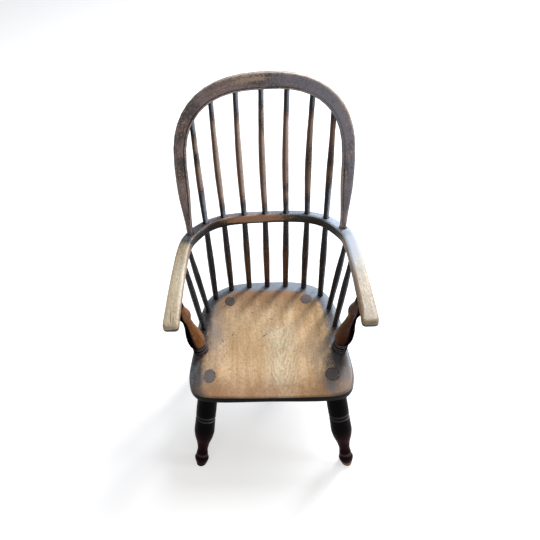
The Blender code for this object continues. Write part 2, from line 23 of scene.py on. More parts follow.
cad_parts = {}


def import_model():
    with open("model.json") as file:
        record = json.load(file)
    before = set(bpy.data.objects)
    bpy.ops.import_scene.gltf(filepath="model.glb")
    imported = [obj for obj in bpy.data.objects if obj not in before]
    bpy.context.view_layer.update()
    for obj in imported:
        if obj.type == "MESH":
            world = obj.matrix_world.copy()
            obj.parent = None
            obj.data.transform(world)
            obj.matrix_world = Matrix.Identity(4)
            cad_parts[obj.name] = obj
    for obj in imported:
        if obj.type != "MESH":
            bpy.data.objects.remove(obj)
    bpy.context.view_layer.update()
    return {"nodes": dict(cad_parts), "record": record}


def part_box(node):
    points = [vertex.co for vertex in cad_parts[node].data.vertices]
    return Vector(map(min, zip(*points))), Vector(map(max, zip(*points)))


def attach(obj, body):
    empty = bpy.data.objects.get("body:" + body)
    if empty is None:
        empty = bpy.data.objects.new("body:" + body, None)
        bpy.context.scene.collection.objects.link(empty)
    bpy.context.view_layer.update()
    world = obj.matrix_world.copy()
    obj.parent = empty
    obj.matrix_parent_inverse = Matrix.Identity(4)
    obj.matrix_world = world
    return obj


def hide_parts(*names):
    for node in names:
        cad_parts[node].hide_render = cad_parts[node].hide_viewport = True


LOG = logging.getLogger("chair")
BODY = "root"
MM = 0.001
SAME_POINT = 1e-5


class Slot(Enum):
    """The record's material slots."""

    SEAT = "elm_seat"
    LEGS = "ebonised_legs"
    POSTS = "turned_posts"
    ARM_BOW = "worn_arm_bow"
    HOOP = "stained_hoop"
    STICKS = "stained_sticks"


class Figure(Enum):
    """How the growth rings show on a surface."""

    STRAIGHT = "straight"
    CATHEDRAL = "cathedral"


def linear(code: str) -> tuple[float, float, float, float]:
    """Turns an sRGB hex colour to linear RGBA.

    Args:
        code: The colour, such as "#C8A878".

    Returns:
        Red, green, blue and a full alpha.
    """
    parts = [int(code[i:i + 2], 16) / 255 for i in (1, 3, 5)]
    flat = [p / 12.92 if p <= 0.04045 else ((p + 0.055) / 1.055) ** 2.4 for p in parts]
    return (flat[0], flat[1], flat[2], 1.0)


def add(tree: bpy.types.NodeTree, kind: str, inputs: dict | None = None, **settings: Any) -> bpy.types.Node:
    """Adds one node with its settings, its input values and its links.

    Args:
        tree: The node tree.
        kind: The node's type name.
        inputs: A value or an output socket for each input's name or index.
        **settings: The node's own properties.

    Returns:
        The new node.
    """
    node = tree.nodes.new(kind)
    for key, value in settings.items():
        setattr(node, key, value)
    for key, value in (inputs or {}).items():
        if isinstance(value, bpy.types.NodeSocket):
            tree.links.new(value, node.inputs[key])
        else:
            node.inputs[key].default_value = value
    return node


def smooth_step(low: float | np.ndarray, high: float | np.ndarray, value: np.ndarray) -> np.ndarray:
    """An eased ramp from 0 at low to 1 at high."""
    share = np.clip((value - low) / (high - low), 0.0, 1.0)
    return share * share * (3 - 2 * share)


def bell(value: np.ndarray, middle: float, width: float) -> np.ndarray:
    """A soft bump of height 1 round a middle."""
    return np.exp(-(((value - middle) / width) ** 2))


def monotone(xs: np.ndarray, ys: np.ndarray, at: np.ndarray) -> np.ndarray:
    """A smooth curve through points that never swings past them.

    Args:
        xs: Rising places of the points.
        ys: Their heights.
        at: Where the curve is wanted.

    Returns:
        The curve's heights there.
    """
    if len(xs) < 3:
        return np.interp(at, xs, ys)
    step = np.diff(xs)
    slope = np.diff(ys) / step
    grade = np.zeros_like(ys)
    same = np.flatnonzero(slope[:-1] * slope[1:] > 0)
    first, second = 2 * step[1:] + step[:-1], step[1:] + 2 * step[:-1]
    grade[same + 1] = (first + second)[same] / (first[same] / slope[same] + second[same] / slope[same + 1])
    grade[0], grade[-1] = slope[0], slope[-1]
    i = np.clip(np.searchsorted(xs, at) - 1, 0, len(step) - 1)
    t = (at - xs[i]) / step[i]
    return (ys[i] * (1 + 2 * t) * (1 - t) ** 2 + ys[i + 1] * t * t * (3 - 2 * t)
            + step[i] * t * (1 - t) * (grade[i] * (1 - t) - grade[i + 1] * t))


def coordinates(mesh: bpy.types.Mesh) -> np.ndarray:
    """Reads a mesh's points.

    Args:
        mesh: The mesh.

    Returns:
        Rows of x, y and z.
    """
    flat = np.empty(len(mesh.vertices) * 3)
    mesh.vertices.foreach_get("co", flat)
    return flat.reshape(-1, 3)


def place(mesh: bpy.types.Mesh, points: np.ndarray) -> None:
    """Writes the mesh's points back."""
    mesh.vertices.foreach_set("co", points.astype(np.float32).ravel())
    mesh.update()


def normals(mesh: bpy.types.Mesh) -> np.ndarray:
    """Reads the directions that a mesh's points face in.

    Args:
        mesh: The mesh.

    Returns:
        Rows of x, y and z, of length 1.
    """
    flat = np.empty(len(mesh.vertices) * 3, np.float32)
    mesh.vertex_normals.foreach_get("vector", flat)
    return flat.reshape(-1, 3).astype(float)


def paint(mesh: bpy.types.Mesh, name: str, values: np.ndarray) -> None:
    """Stores a number or a vector for each point, for the materials to read.

    Args:
        mesh: The piece's mesh.
        name: The attribute's name.
        values: One number, or one row of three, for each point.
    """
    kind, key = ("FLOAT", "value") if values.ndim == 1 else ("FLOAT_VECTOR", "vector")
    layer = mesh.attributes.new(name, kind, "POINT")
    layer.data.foreach_set(key, values.astype(np.float32).ravel())


def new_object(name: str, mesh: bpy.types.Mesh) -> bpy.types.Object:
    """Puts a mesh in the scene as an object at the origin.

    Args:
        name: The object's name.
        mesh: The mesh.

    Returns:
        The object.
    """
    thing = bpy.data.objects.new(name, mesh)
    bpy.context.scene.collection.objects.link(thing)
    return thing


def settle(thing: bpy.types.Object) -> None:
    """Turns an object's modifiers into its plain mesh.

    Args:
        thing: The object, whose modifiers are removed.
    """
    bpy.context.view_layer.update()
    source = thing.evaluated_get(bpy.context.evaluated_depsgraph_get())
    mesh = bpy.data.meshes.new_from_object(source)
    thing.modifiers.clear()
    old = thing.data
    thing.data = mesh
    mesh.name = thing.name
    bpy.data.meshes.remove(old)


def hand_over(thing: bpy.types.Object, slot: Slot, *replaced: str) -> None:
    """Gives a finished piece to the frame.

    Args:
        thing: The piece.
        slot: The record's material slot for the piece; it is not used.
        *replaced: The CAD nodes that it stands for.
    """
    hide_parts(*replaced)
    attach(thing, BODY)
    LOG.info("%s: %d faces, stands for %s", thing.name, len(thing.data.polygons), ", ".join(replaced))


@dataclass
class Cad:
    """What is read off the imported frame.

    Attributes:
        nodes: The CAD nodes by name.
        record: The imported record.
    """

    nodes: dict[str, bpy.types.Object]
    record: dict

    def points(self, node: str) -> np.ndarray:
        """A node's points, each once."""
        return np.unique(np.round(coordinates(self.nodes[node].data), 6), axis=0)

    def surface(self, node: str) -> BVHTree:
        """A node's faces, ready for rays."""
        mesh = self.nodes[node].data
        return BVHTree.FromPolygons([v.co for v in mesh.vertices], [p.vertices for p in mesh.polygons])

    def mount(self, name: str) -> np.ndarray:
        """Where the record puts a mount."""
        return np.array(next(m["pos_m"] for m in self.record["mounts"] if m["name"] == name), float)


@dataclass(frozen=True)
class Mark:
    """A scratch, crack or nick, as a flat oval on a surface.

    Attributes:
        at_mm: Its middle, from the middle of its piece's box, at the top.
        half_mm: Its half-sizes before it is turned.
        turn: Its turn about the vertical, in degrees.
    """

    at_mm: tuple[float, float, float]
    half_mm: tuple[float, float, float]
    turn: float = 0.0


@dataclass(frozen=True)
class Coat:
    """A coat of colour, and where it shows.

    Attributes:
        colour: Its colour, as a hex value or a socket.
        where: The socket that decides where it shows.
        span: The values of that socket between which it comes in, or none where the socket is a share already.
        most: The most of it that shows.
    """

    colour: str | bpy.types.NodeSocket
    where: bpy.types.NodeSocket
    span: tuple[float, float] | None = None
    most: float = 1.0


@dataclass(frozen=True)
class WoodFinish:
    """Wood as it was shaved, stained, waxed and then worn.

    The painted attributes say where: "stain" how much dark stain is left, which on some faces also paints
    shade, "soil" how brown handling has made the bare wood, "rub" where stain is rubbed through, "bleach" where
    wood is scrubbed pale and where highlights are painted, "figure" where growth rings show, "end" where end
    grain shows, "bloom" where dust and old wax lie pale on the stain and where sheen is painted on it, "haze"
    where half-worn stain leaves a grey film on bare wood and where sheen is painted on it, and "grain" the
    place across, up and along the grain.

    Attributes:
        name: The wood and what was done to it.
        pale: Early wood.
        mid: The body of the wood.
        dark: Late wood and open pores.
        deep: Stain where it is thickest.
        thin: Stain where it is thin.
        worn: Wood that shows where the stain is rubbed through.
        soil: What handling turns the bare wood to.
        end: End grain.
        bleached_and_highlight: Wood scrubbed pale, and the colour of painted highlights.
        dust_and_sheen: Dust and old wax on the stain, and the colour of painted sheen on it.
        haze_and_sheen: The film of half-worn stain on bare wood, and the colour of painted sheen on it.
        streak_mm: Width and run of the grain's streaks.
        pore_mm: Width and run of the pores, drawn coarser than real ones so that they show.
        grit_mm: Width and run of the specks.
        patch_mm: Size of the patches where stain is thick or thin.
        rag: How ragged the stain's edge is.
        speckle: Share of dark specks in bare wood.
        flake: Share of brown specks in the stain.
        fleck: Share of pale nicks in the stain.
        shine: Strength of the wax's reflection, 0.5 for a plain one.
        dull: The same where stain lies thick and dry.
        dry: The stain's strength from which it starts to lie dry, and where it is quite dry.
        rough: Roughness of bare wood and of stained wood.
        relief_mm: Depth of the bump that the grain gives.
        figure: How the growth rings show.
        marks: Scratches, cracks and nicks.
    """

    name: str
    pale: str
    mid: str
    dark: str
    deep: str
    thin: str
    worn: str
    soil: str = "#7A5236"
    end: str = "#5E5552"
    bleached_and_highlight: str = "#EBE2CE"
    dust_and_sheen: str = "#83868F"
    haze_and_sheen: str = "#9A8880"
    streak_mm: tuple[float, float] = (3.0, 60.0)
    pore_mm: tuple[float, float] = (0.8, 9.0)
    grit_mm: tuple[float, float] = (1.8, 2.8)
    patch_mm: float = 22.0
    rag: float = 0.7
    speckle: float = 0.35
    flake: float = 0.0
    fleck: float = 0.3
    shine: float = 0.5
    dull: float = 0.05
    dry: tuple[float, float] = (1.0, 1.4)
    rough: tuple[float, float] = (0.52, 0.36)
    relief_mm: float = 0.25
    figure: Figure = Figure.STRAIGHT
    marks: tuple[Mark, ...] = ()

    PAINTED = ("grain", "stain", "soil", "rub", "bleach_and_highlight", "dust_and_sheen", "haze_and_sheen", "figure", "end")
    # Width and run of the mottling, and how many times as long as wide a patch is.
    MOTTLE_MM = (4.5, 8.0)
    PATCH_RUN = 2.2
    # The noise values between which pores, pits and pale motes come in.
    PORES = (0.56, 0.72)
    PITS = (0.55, 0.70)
    MOTES = (0.46, 0.30)
    # How far patches make the roughness swing, and what pores and grit do to the bump.
    ROUGH_SWING = 0.16
    PORE_DEEP = 0.6
    GRIT_HIGH = 0.35
    BUMP = 0.6
    WOOD_IOR = 1.5

    def build(self, anchor: np.ndarray | None = None) -> bpy.types.Material:
        """Builds the material's nodes.

        Args:
            anchor: The point that the marks are measured from, for a finish that has marks.

        Returns:
            The material.
        """
        material = bpy.data.materials.new(self.name)
        material.use_nodes = True
        tree = material.node_tree
        tree.nodes.clear()
        painted = {key: add(tree, "ShaderNodeAttribute", attribute_name=key, attribute_type="GEOMETRY").outputs
                   for key in self.PAINTED}
        grain = painted["grain"]["Vector"]
        shown = {key: outputs["Fac"] for key, outputs in painted.items()}
        streak = self._noise(tree, grain, self.streak_mm, 4.0)
        pore = self._noise(tree, grain, self.pore_mm, 2.0)
        patch = self._noise(tree, grain, (self.patch_mm, self.PATCH_RUN * self.patch_mm), 5.0)
        grit = self._noise(tree, grain, self.grit_mm, 2.0)
        mottle = self._noise(tree, grain, self.MOTTLE_MM, 3.0)

        # Bare wood: its grain, scrubbed places with painted highlights, rings, specks, what handling has left
        # on it, and a film of half-worn stain with painted sheen in it.
        soiled = self._broken(tree, shown["soil"], ((patch, 0.4), (streak, 0.25), (mottle, 0.5)), (0.0, 1.25),
                              0.1)
        haze_and_sheen_share = self._broken(tree, shown["haze_and_sheen"], ((patch, 0.8), (grit, 1.1)), (0.05, 0.95), 0.1)
        rings: tuple[Coat, ...] = ()
        if self.figure is Figure.CATHEDRAL:
            rings = (Coat(self.bleached_and_highlight, self._rings(tree, grain, shown["figure"])),)
        bare = self._coated(tree, self.pale, (
            Coat(self.mid, streak, (0.32, 0.68)),
            Coat(self.bleached_and_highlight, shown["bleach_and_highlight"]),
            *rings,
            Coat(self.soil, mottle, (0.50, 0.72), self.speckle),
            Coat(self.dark, pore, self.PORES, self.speckle),
            Coat(self.dark, grit, self.PITS, self.speckle),
            Coat(self.bleached_and_highlight, grit, self.MOTES, self.speckle),
            Coat(self.soil, soiled, most=0.9),
            Coat(self.haze_and_sheen, haze_and_sheen_share)))

        # Stain: thick and thin patches, specks and nicks, a thick coat where much is left, and dust on it with
        # painted sheen.
        dust_and_sheen_share = self._broken(tree, shown["dust_and_sheen"], ((patch, 0.6), (grit, 1.3)), (0.0, 1.0), 0.1)
        nick = 0.80 - 0.2 * self.fleck
        tint = self._coated(tree, self.deep, (
            Coat(self.thin, patch, (0.38, 0.66)),
            Coat(self.deep, pore, self.PORES, 0.6),
            Coat(self.worn, grit, self.PITS, self.flake),
            Coat(self.pale, grit, (nick, nick + 0.06), self.fleck),
            Coat(self.deep, shown["stain"], (0.95, 1.45)),
            Coat(self.dust_and_sheen, dust_and_sheen_share)))

        # Stain on the bare wood, wood rubbed through the stain, paler where scrubbed and where highlights are
        # painted, end grain, and the marks on top.
        swings = ((patch, 2 * self.rag), (streak, self.rag), (grit, 1.5 * self.rag))
        stained = self._broken(tree, shown["stain"], swings, (0.16, 0.84))
        rubbed = self._broken(tree, shown["rub"], ((streak, 1.1), (grit, 1.2), (patch, 0.6)), (0.24, 0.56),
                              0.16)
        worn = self._coated(tree, self.worn, (Coat(self.deep, pore, self.PORES, 0.4),
                                              Coat(self.bleached_and_highlight, shown["bleach_and_highlight"])))
        ends = self._coated(tree, self.end, (Coat(self.deep, grit, (0.35, 0.65), 0.30),))
        marks: tuple[Coat, ...] = ()
        if self.marks:
            marks = (Coat(self.deep, self._marked(tree, grit, anchor), (1.5, 1.0), 0.92),)
        colour = self._coated(tree, bare, (
            Coat(tint, stained), Coat(worn, rubbed), Coat(ends, shown["end"]), *marks))

        # Wax over all of it: smoother on stain, uneven by patches, and dull where stain lies thick and dry.
        gloss = add(tree, "ShaderNodeMapRange", {0: stained, 3: self.rough[0], 4: self.rough[1]})
        gloss = add(tree, "ShaderNodeMath", {0: patch, 1: self.ROUGH_SWING, 2: gloss.outputs[0]},
                    operation="MULTIPLY_ADD")
        gloss = add(tree, "ShaderNodeMath", {0: gloss.outputs[0], 1: -self.ROUGH_SWING / 2}, operation="ADD",
                    use_clamp=True)
        pores = add(tree, "ShaderNodeMapRange", {0: pore, 1: self.PORES[0], 2: self.PORES[1]},
                    interpolation_type="SMOOTHSTEP")
        height = add(tree, "ShaderNodeMath", {0: pores.outputs[0], 1: -self.PORE_DEEP, 2: streak},
                     operation="MULTIPLY_ADD")
        height = add(tree, "ShaderNodeMath", {0: grit, 1: self.GRIT_HIGH, 2: height.outputs[0]},
                     operation="MULTIPLY_ADD")
        relief = add(tree, "ShaderNodeBump", {"Strength": self.BUMP, "Distance": self.relief_mm * MM,
                                              "Height": height.outputs[0]})
        wax = add(tree, "ShaderNodeMapRange", {0: shown["stain"], 1: self.dry[0], 2: self.dry[1], 3: self.shine,
                                               4: self.dull})
        shader = add(tree, "ShaderNodeBsdfPrincipled", {
            "Base Color": colour, "Roughness": gloss.outputs[0], "Normal": relief.outputs[0],
            "IOR": self.WOOD_IOR, "Specular IOR Level": wax.outputs[0]})
        add(tree, "ShaderNodeOutputMaterial", {"Surface": shader.outputs[0]})
        return material

    @staticmethod
    def _noise(tree: bpy.types.NodeTree, grain: bpy.types.NodeSocket, size_mm: tuple[float, float],
               detail: float) -> bpy.types.NodeSocket:
        """Noise in cells of a real width across the grain and a real run along it.

        Args:
            tree: The material's tree.
            grain: The painted grain vector, in metres.
            size_mm: The cells' width and run.
            detail: Octaves.

        Returns:
            The noise, about 0.5.
        """
        width, run = (1 / (size * MM) for size in size_mm)
        cells = add(tree, "ShaderNodeMapping", {"Vector": grain, "Scale": (width, width, run)})
        return add(tree, "ShaderNodeTexNoise", {"Vector": cells.outputs[0], "Scale": 1.0, "Detail": detail,
                                                "Roughness": 0.6}).outputs[0]

    @staticmethod
    def _broken(tree: bpy.types.NodeTree, value: bpy.types.NodeSocket,
                noises: tuple[tuple[bpy.types.NodeSocket, float], ...], span: tuple[float, float],
                start: float | None = None) -> bpy.types.NodeSocket:
        """Where a painted value shows once noise has broken it up.

        Args:
            tree: The material's tree.
            value: The painted value.
            noises: Noise sockets, about 0.5, and how far each makes the value swing.
            span: The swung values between which it comes in.
            start: The painted value up to which it is held back, where noise alone mustn't bring it in.

        Returns:
            The share that shows.
        """
        swung = value
        for noise, share in noises:
            swing = add(tree, "ShaderNodeMath", {0: noise, 1: -0.5}, operation="ADD").outputs[0]
            swung = add(tree, "ShaderNodeMath", {0: swing, 1: share, 2: swung},
                        operation="MULTIPLY_ADD").outputs[0]
        shown = add(tree, "ShaderNodeMapRange", {0: swung, 1: span[0], 2: span[1]},
                    interpolation_type="SMOOTHSTEP").outputs[0]
        if start is None:
            return shown
        held = add(tree, "ShaderNodeMapRange", {0: value, 1: 0.0, 2: start}, interpolation_type="SMOOTHSTEP")
        return add(tree, "ShaderNodeMath", {0: shown, 1: held.outputs[0]}, operation="MULTIPLY").outputs[0]

    @staticmethod
    def _coated(tree: bpy.types.NodeTree, under: str | bpy.types.NodeSocket,
                coats: tuple[Coat, ...]) -> bpy.types.NodeSocket:
        """Lays coats of colour over each other.

        Args:
            tree: The material's tree.
            under: The lowest colour, as a hex value or a socket.
            coats: The coats, from the lowest.

        Returns:
            The colour that shows.
        """
        colour = linear(under) if isinstance(under, str) else under
        for coat in coats:
            ends = {1: coat.span[0], 2: coat.span[1]} if coat.span else {}
            share = add(tree, "ShaderNodeMapRange", {0: coat.where, **ends, 4: coat.most},
                        interpolation_type="SMOOTHSTEP" if coat.span else "LINEAR")
            over = linear(coat.colour) if isinstance(coat.colour, str) else coat.colour
            colour = add(tree, "ShaderNodeMix", {0: share.outputs[0], 6: colour, 7: over},
                         data_type="RGBA").outputs[2]
        return colour

    @classmethod
    def _rings(cls, tree: bpy.types.NodeTree, grain: bpy.types.NodeSocket,
               shown: bpy.types.NodeSocket) -> bpy.types.NodeSocket:
        """Growth rings of a plank sawn beside the heart of a tapering trunk, which show as nested arches.

        Args:
            tree: The material's tree.
            grain: The painted grain vector, in metres.
            shown: Where rings show.

        Returns:
            1 on the pale early wood of each ring that shows.
        """
        ring_mm, heart_x_mm, heart_depth_mm, taper = 6.8, 24.0, 8.0, 0.21
        sway_mm, sway_rings, early = (26.0, 60.0), 3.2, (0.45, 0.80)
        apart = add(tree, "ShaderNodeSeparateXYZ", {0: grain})
        side = add(tree, "ShaderNodeMath", {0: apart.outputs[0], 1: -heart_x_mm * MM}, operation="ADD")
        across = add(tree, "ShaderNodeCombineXYZ", {0: side.outputs[0], 1: heart_depth_mm * MM})
        reach = add(tree, "ShaderNodeVectorMath", {0: across.outputs[0]}, operation="LENGTH")
        reach = add(tree, "ShaderNodeMath", {0: apart.outputs[2], 1: -taper, 2: reach.outputs[1]},
                    operation="MULTIPLY_ADD")
        count = add(tree, "ShaderNodeMath", {0: reach.outputs[0], 1: 1 / (ring_mm * MM)}, operation="MULTIPLY")
        count = add(tree, "ShaderNodeMath", {0: cls._noise(tree, grain, sway_mm, 3.0), 1: sway_rings,
                                             2: count.outputs[0]}, operation="MULTIPLY_ADD")
        turn = add(tree, "ShaderNodeMath", {0: count.outputs[0]}, operation="FRACT")
        pale = add(tree, "ShaderNodeMapRange", {0: turn.outputs[0], 1: early[0], 2: early[1]},
                   interpolation_type="SMOOTHSTEP")
        return add(tree, "ShaderNodeMath", {0: pale.outputs[0], 1: shown}, operation="MULTIPLY").outputs[0]

    def _marked(self, tree: bpy.types.NodeTree, grit: bpy.types.NodeSocket,
                anchor: np.ndarray) -> bpy.types.NodeSocket:
        """How far the surface is from the scratches, cracks and nicks.

        Args:
            tree: The material's tree.
            grit: Fine noise that roughens their edges.
            anchor: The point that they are measured from.

        Returns:
            The distance, in half-sizes of the nearest mark.
        """
        ragged = 0.8
        where = add(tree, "ShaderNodeTexCoord").outputs["Object"]
        least = None
        for mark in self.marks:
            local = add(tree, "ShaderNodeMapping", {
                "Vector": where, "Location": tuple(anchor + np.array(mark.at_mm) * MM),
                "Rotation": (0.0, 0.0, math.radians(mark.turn)),
                "Scale": tuple(half * MM for half in mark.half_mm)}, vector_type="TEXTURE")
            reach = add(tree, "ShaderNodeVectorMath", {0: local.outputs[0]}, operation="LENGTH").outputs[1]
            least = reach if least is None else add(tree, "ShaderNodeMath", {0: least, 1: reach},
                                                    operation="MINIMUM").outputs[0]
        return add(tree, "ShaderNodeMath", {0: grit, 1: ragged, 2: least}, operation="MULTIPLY_ADD").outputs[0]


@dataclass
class TurnedLine:
    """The axis and the profile of a turned piece, measured off its CAD node.

    Attributes:
        foot: The axis's lower end.
        along: The axis's direction, upwards.
        stations: Places on the axis, from the foot.
        radii: The piece's radius at each.
    """

    foot: np.ndarray
    along: np.ndarray
    stations: np.ndarray
    radii: np.ndarray

    STEP = 0.0008
    # Points within this of each other along the axis are on one ring, radii within ONE_SIZE are one radius, and
    # points nearer the axis than HUB are the middle of an end.
    RING = 0.0001
    ONE_SIZE = 0.0006
    HUB = 0.0015
    # Shares of the radius at which rings close an end.
    END_RINGS = (0.8, 0.6, 0.4, 0.2, 0.04)
    # A leg's shoulder lies SHOULDER inside the seat and its tenon is measured above UPPER_SHARE of its height
    # there. SPARE is how far it is made too long, and how far below the seat its profile ends.
    SHOULDER = 0.010
    UPPER_SHARE = 0.7
    SPARE = 0.002

    @classmethod
    def of_node(cls, points: np.ndarray) -> TurnedLine:
        """Measures a piece whose ends are square to its axis.

        Args:
            points: The node's points.

        Returns:
            Its axis and profile.
        """
        middle = points.mean(0)
        along = np.linalg.svd(points - middle, full_matrices=False)[2][0]
        along = along * np.sign(along[2])
        places = (points - middle) @ along
        foot = points[places < places.min() + cls.RING].mean(0)
        head = points[places > places.max() - cls.RING].mean(0)
        along = (head - foot) / np.linalg.norm(head - foot)
        return cls(foot, along, *cls._profile(points, foot, along))

    @classmethod
    def of_leg(cls, points: np.ndarray, foot: np.ndarray, underside: float) -> TurnedLine:
        """Measures a leg, whose ends are cut to the floor and to the seat.

        Args:
            points: The node's points.
            foot: Where its axis meets the floor.
            underside: The height of the seat's underside.

        Returns:
            Its axis and profile, with the tenon from inside the seat upwards.
        """
        rim = points[points[:, 2] > underside + cls.UPPER_SHARE * (points[:, 2].max() - underside)]
        head = rim.mean(0)
        for _ in range(3):
            along = (head - foot) / np.linalg.norm(head - foot)
            sides = np.linalg.svd(along.reshape(1, 3))[2][1:]
            spread = (rim - foot) @ sides.T
            head = head + ((spread.min(0) + spread.max(0)) / 2 - (head - foot) @ sides.T) @ sides
        along = (head - foot) / np.linalg.norm(head - foot)
        tenon = np.linalg.norm((rim - foot) - np.outer((rim - foot) @ along, along), axis=1).mean()
        sunk = (underside + cls.SHOULDER) / along[2]
        stations, radii = cls._profile(points[points[:, 2] < underside - cls.SPARE], foot, along)
        stations = np.concatenate([stations, [sunk, sunk, (rim - foot).dot(along).max() + cls.SPARE]])
        return cls(foot, along, stations, np.concatenate([radii, [radii[-1], tenon, tenon]]))

    @classmethod
    def _profile(cls, points: np.ndarray, foot: np.ndarray, along: np.ndarray) -> tuple[np.ndarray, np.ndarray]:
        """Sorts a node's points into places along the axis and radii.

        Args:
            points: The node's points.
            foot: The axis's lower end.
            along: The axis's direction.

        Returns:
            The places and the radii, with two radii at one place where the profile steps.
        """
        places = (points - foot) @ along
        reach = np.linalg.norm(points - foot - np.outer(places, along), axis=1)
        order = np.argsort(places)
        rows: list[tuple[float, float]] = []
        for group in np.split(order, np.flatnonzero(np.diff(places[order]) > cls.RING) + 1):
            ring = reach[group][reach[group] > cls.HUB]
            if not len(ring):
                continue
            near = ring.max() - ring.min() < cls.ONE_SIZE
            sizes = [ring.mean()] if near else [ring.min(), ring.max()]
            if rows and abs(rows[-1][1] - sizes[-1]) < abs(rows[-1][1] - sizes[0]):
                sizes.reverse()
            rows += [(places[group].mean(), size) for size in sizes]
        return np.array([r[0] for r in rows]), np.array([r[1] for r in rows])

    def cuts(self, depth: float) -> list[float]:
        """Places of narrow cuts that are deeper than depth on both sides."""
        lips = np.minimum(self.radii[:-2], self.radii[2:])
        return self.stations[1:-1][lips - self.radii[1:-1] > depth].tolist()

    def fine(self, step: float) -> tuple[np.ndarray, np.ndarray]:
        """The profile in small steps, with rings that close both ends.

        Args:
            step: The longest step along the axis.

        Returns:
            Places on the axis and radii.
        """
        hair = SAME_POINT
        breaks = np.flatnonzero(np.diff(self.stations) < self.RING / 2) + 1
        places, radii = [], []
        for part in np.split(np.arange(len(self.stations)), breaks):
            xs, ys = self.stations[part], self.radii[part]
            at = np.linspace(xs[0], xs[-1], max(2, int((xs[-1] - xs[0]) / step) + 1))
            if places:
                at[0] = max(at[0], places[-1][-1] + hair)
            places.append(at)
            radii.append(monotone(xs, ys, at))
        s, r = np.concatenate(places), np.concatenate(radii)
        shares = np.array(self.END_RINGS)
        gaps = hair * np.arange(1, len(shares) + 1)
        return (np.concatenate([s[0] - gaps[::-1], s, s[-1] + gaps]),
                np.concatenate([r[0] * shares[::-1], r, r[-1] * shares]))


def face_outward(mesh: bpy.types.Mesh) -> None:
    """Merges a closed mesh's doubles and turns its faces outward.

    Args:
        mesh: The mesh, which is changed.
    """
    work = bmesh.new()
    work.from_mesh(mesh)
    bmesh.ops.remove_doubles(work, verts=work.verts, dist=SAME_POINT / 10)
    bmesh.ops.recalc_face_normals(work, faces=work.faces)
    work.to_mesh(mesh)
    work.free()


@dataclass(frozen=True)
class HandWork:
    """How working by hand makes the radius of a set of turned pieces swing.

    Attributes:
        uneven: The share of the radius by which it swings.
        lump: The length of a swing.
        seed: Which swings the first piece gets; the next ones count on.
    """

    uneven: float
    lump: float
    seed: float


class TurningTree:
    """A Geometry Nodes tree that turns a piece on a lathe.

    It sweeps a circle along a line of points that have a radius each.
    """

    RADIUS = "turn_radius"

    def __init__(self) -> None:
        """Builds the tree."""
        self.tree = bpy.data.node_groups.new("turning", "GeometryNodeTree")
        sockets = (("Line", "INPUT", "NodeSocketGeometry"), ("Sides", "INPUT", "NodeSocketInt"),
                   ("Unevenness", "INPUT", "NodeSocketFloat"), ("Lump Length", "INPUT", "NodeSocketFloat"),
                   ("Seed", "INPUT", "NodeSocketFloat"), ("Material", "INPUT", "NodeSocketMaterial"),
                   ("Piece", "OUTPUT", "NodeSocketGeometry"))
        self.keys = {name: self.tree.interface.new_socket(name, in_out=way, socket_type=kind).identifier
                     for name, way, kind in sockets}
        tree = self.tree
        given = add(tree, "NodeGroupInput").outputs
        line = add(tree, "GeometryNodeMeshToCurve", {"Mesh": given["Line"]})
        radius = add(tree, "GeometryNodeInputNamedAttribute", {"Name": self.RADIUS}, data_type="FLOAT")
        where = add(tree, "GeometryNodeInputPosition")
        often = add(tree, "ShaderNodeMath", {0: 1.0, 1: given["Lump Length"]}, operation="DIVIDE")
        lumps = add(tree, "ShaderNodeTexNoise", {
            "Vector": where.outputs[0], "W": given["Seed"], "Scale": often.outputs[0], "Detail": 2.0},
            noise_dimensions="4D")
        swing = add(tree, "ShaderNodeMath", {0: lumps.outputs[0], 1: -0.5}, operation="ADD")
        swing = add(tree, "ShaderNodeMath", {0: swing.outputs[0], 1: given["Unevenness"], 2: 1.0},
                    operation="MULTIPLY_ADD")
        size = add(tree, "ShaderNodeMath", {0: radius.outputs[0], 1: swing.outputs[0]}, operation="MULTIPLY")
        circle = add(tree, "GeometryNodeCurvePrimitiveCircle", {"Resolution": given["Sides"], "Radius": 1.0})
        swept = add(tree, "GeometryNodeCurveToMesh", {
            "Curve": line.outputs[0], "Profile Curve": circle.outputs[0], "Scale": size.outputs[0],
            "Fill Caps": True})
        smooth = add(tree, "GeometryNodeSetShadeSmooth", {"Geometry": swept.outputs[0]})
        real = add(tree, "GeometryNodeRealizeInstances", {"Geometry": smooth.outputs[0]})
        dressed = add(tree, "GeometryNodeSetMaterial", {
            "Geometry": real.outputs[0], "Material": given["Material"]})
        add(tree, "NodeGroupOutput", {"Piece": dressed.outputs[0]})

    def turn(self, name: str, line: np.ndarray, radii: np.ndarray, material: bpy.types.Material, sides: int,
             work: HandWork, number: int) -> bpy.types.Object:
        """Turns one piece.

        Args:
            name: The piece's name.
            line: Points along its middle.
            radii: Its radius at each.
            material: Its material.
            sides: Facets round it.
            work: How uneven its set is.
            number: Its place in the set.

        Returns:
            The piece, as a plain mesh whose faces point outward.
        """
        mesh = bpy.data.meshes.new(name)
        mesh.from_pydata(line.tolist(), [(i, i + 1) for i in range(len(line) - 1)], [])
        paint(mesh, self.RADIUS, radii)
        thing = new_object(name, mesh)
        lathe = thing.modifiers.new("turning", "NODES")
        lathe.node_group = self.tree
        values = {"Sides": sides, "Unevenness": work.uneven, "Lump Length": work.lump,
                  "Seed": work.seed + number, "Material": material}
        for key, value in values.items():
            lathe[self.keys[key]] = value
        settle(thing)
        face_outward(thing.data)
        return thing


def local_grain(points: np.ndarray, line: TurnedLine) -> np.ndarray:
    """Places across, up and along a turned piece.

    Args:
        points: The piece's points.
        line: Its axis.

    Returns:
        Rows of three places.
    """
    sides = np.linalg.svd(line.along.reshape(1, 3))[2][1:]
    away = points - line.foot
    return np.column_stack([away @ sides[0], away @ sides[1], away @ line.along])


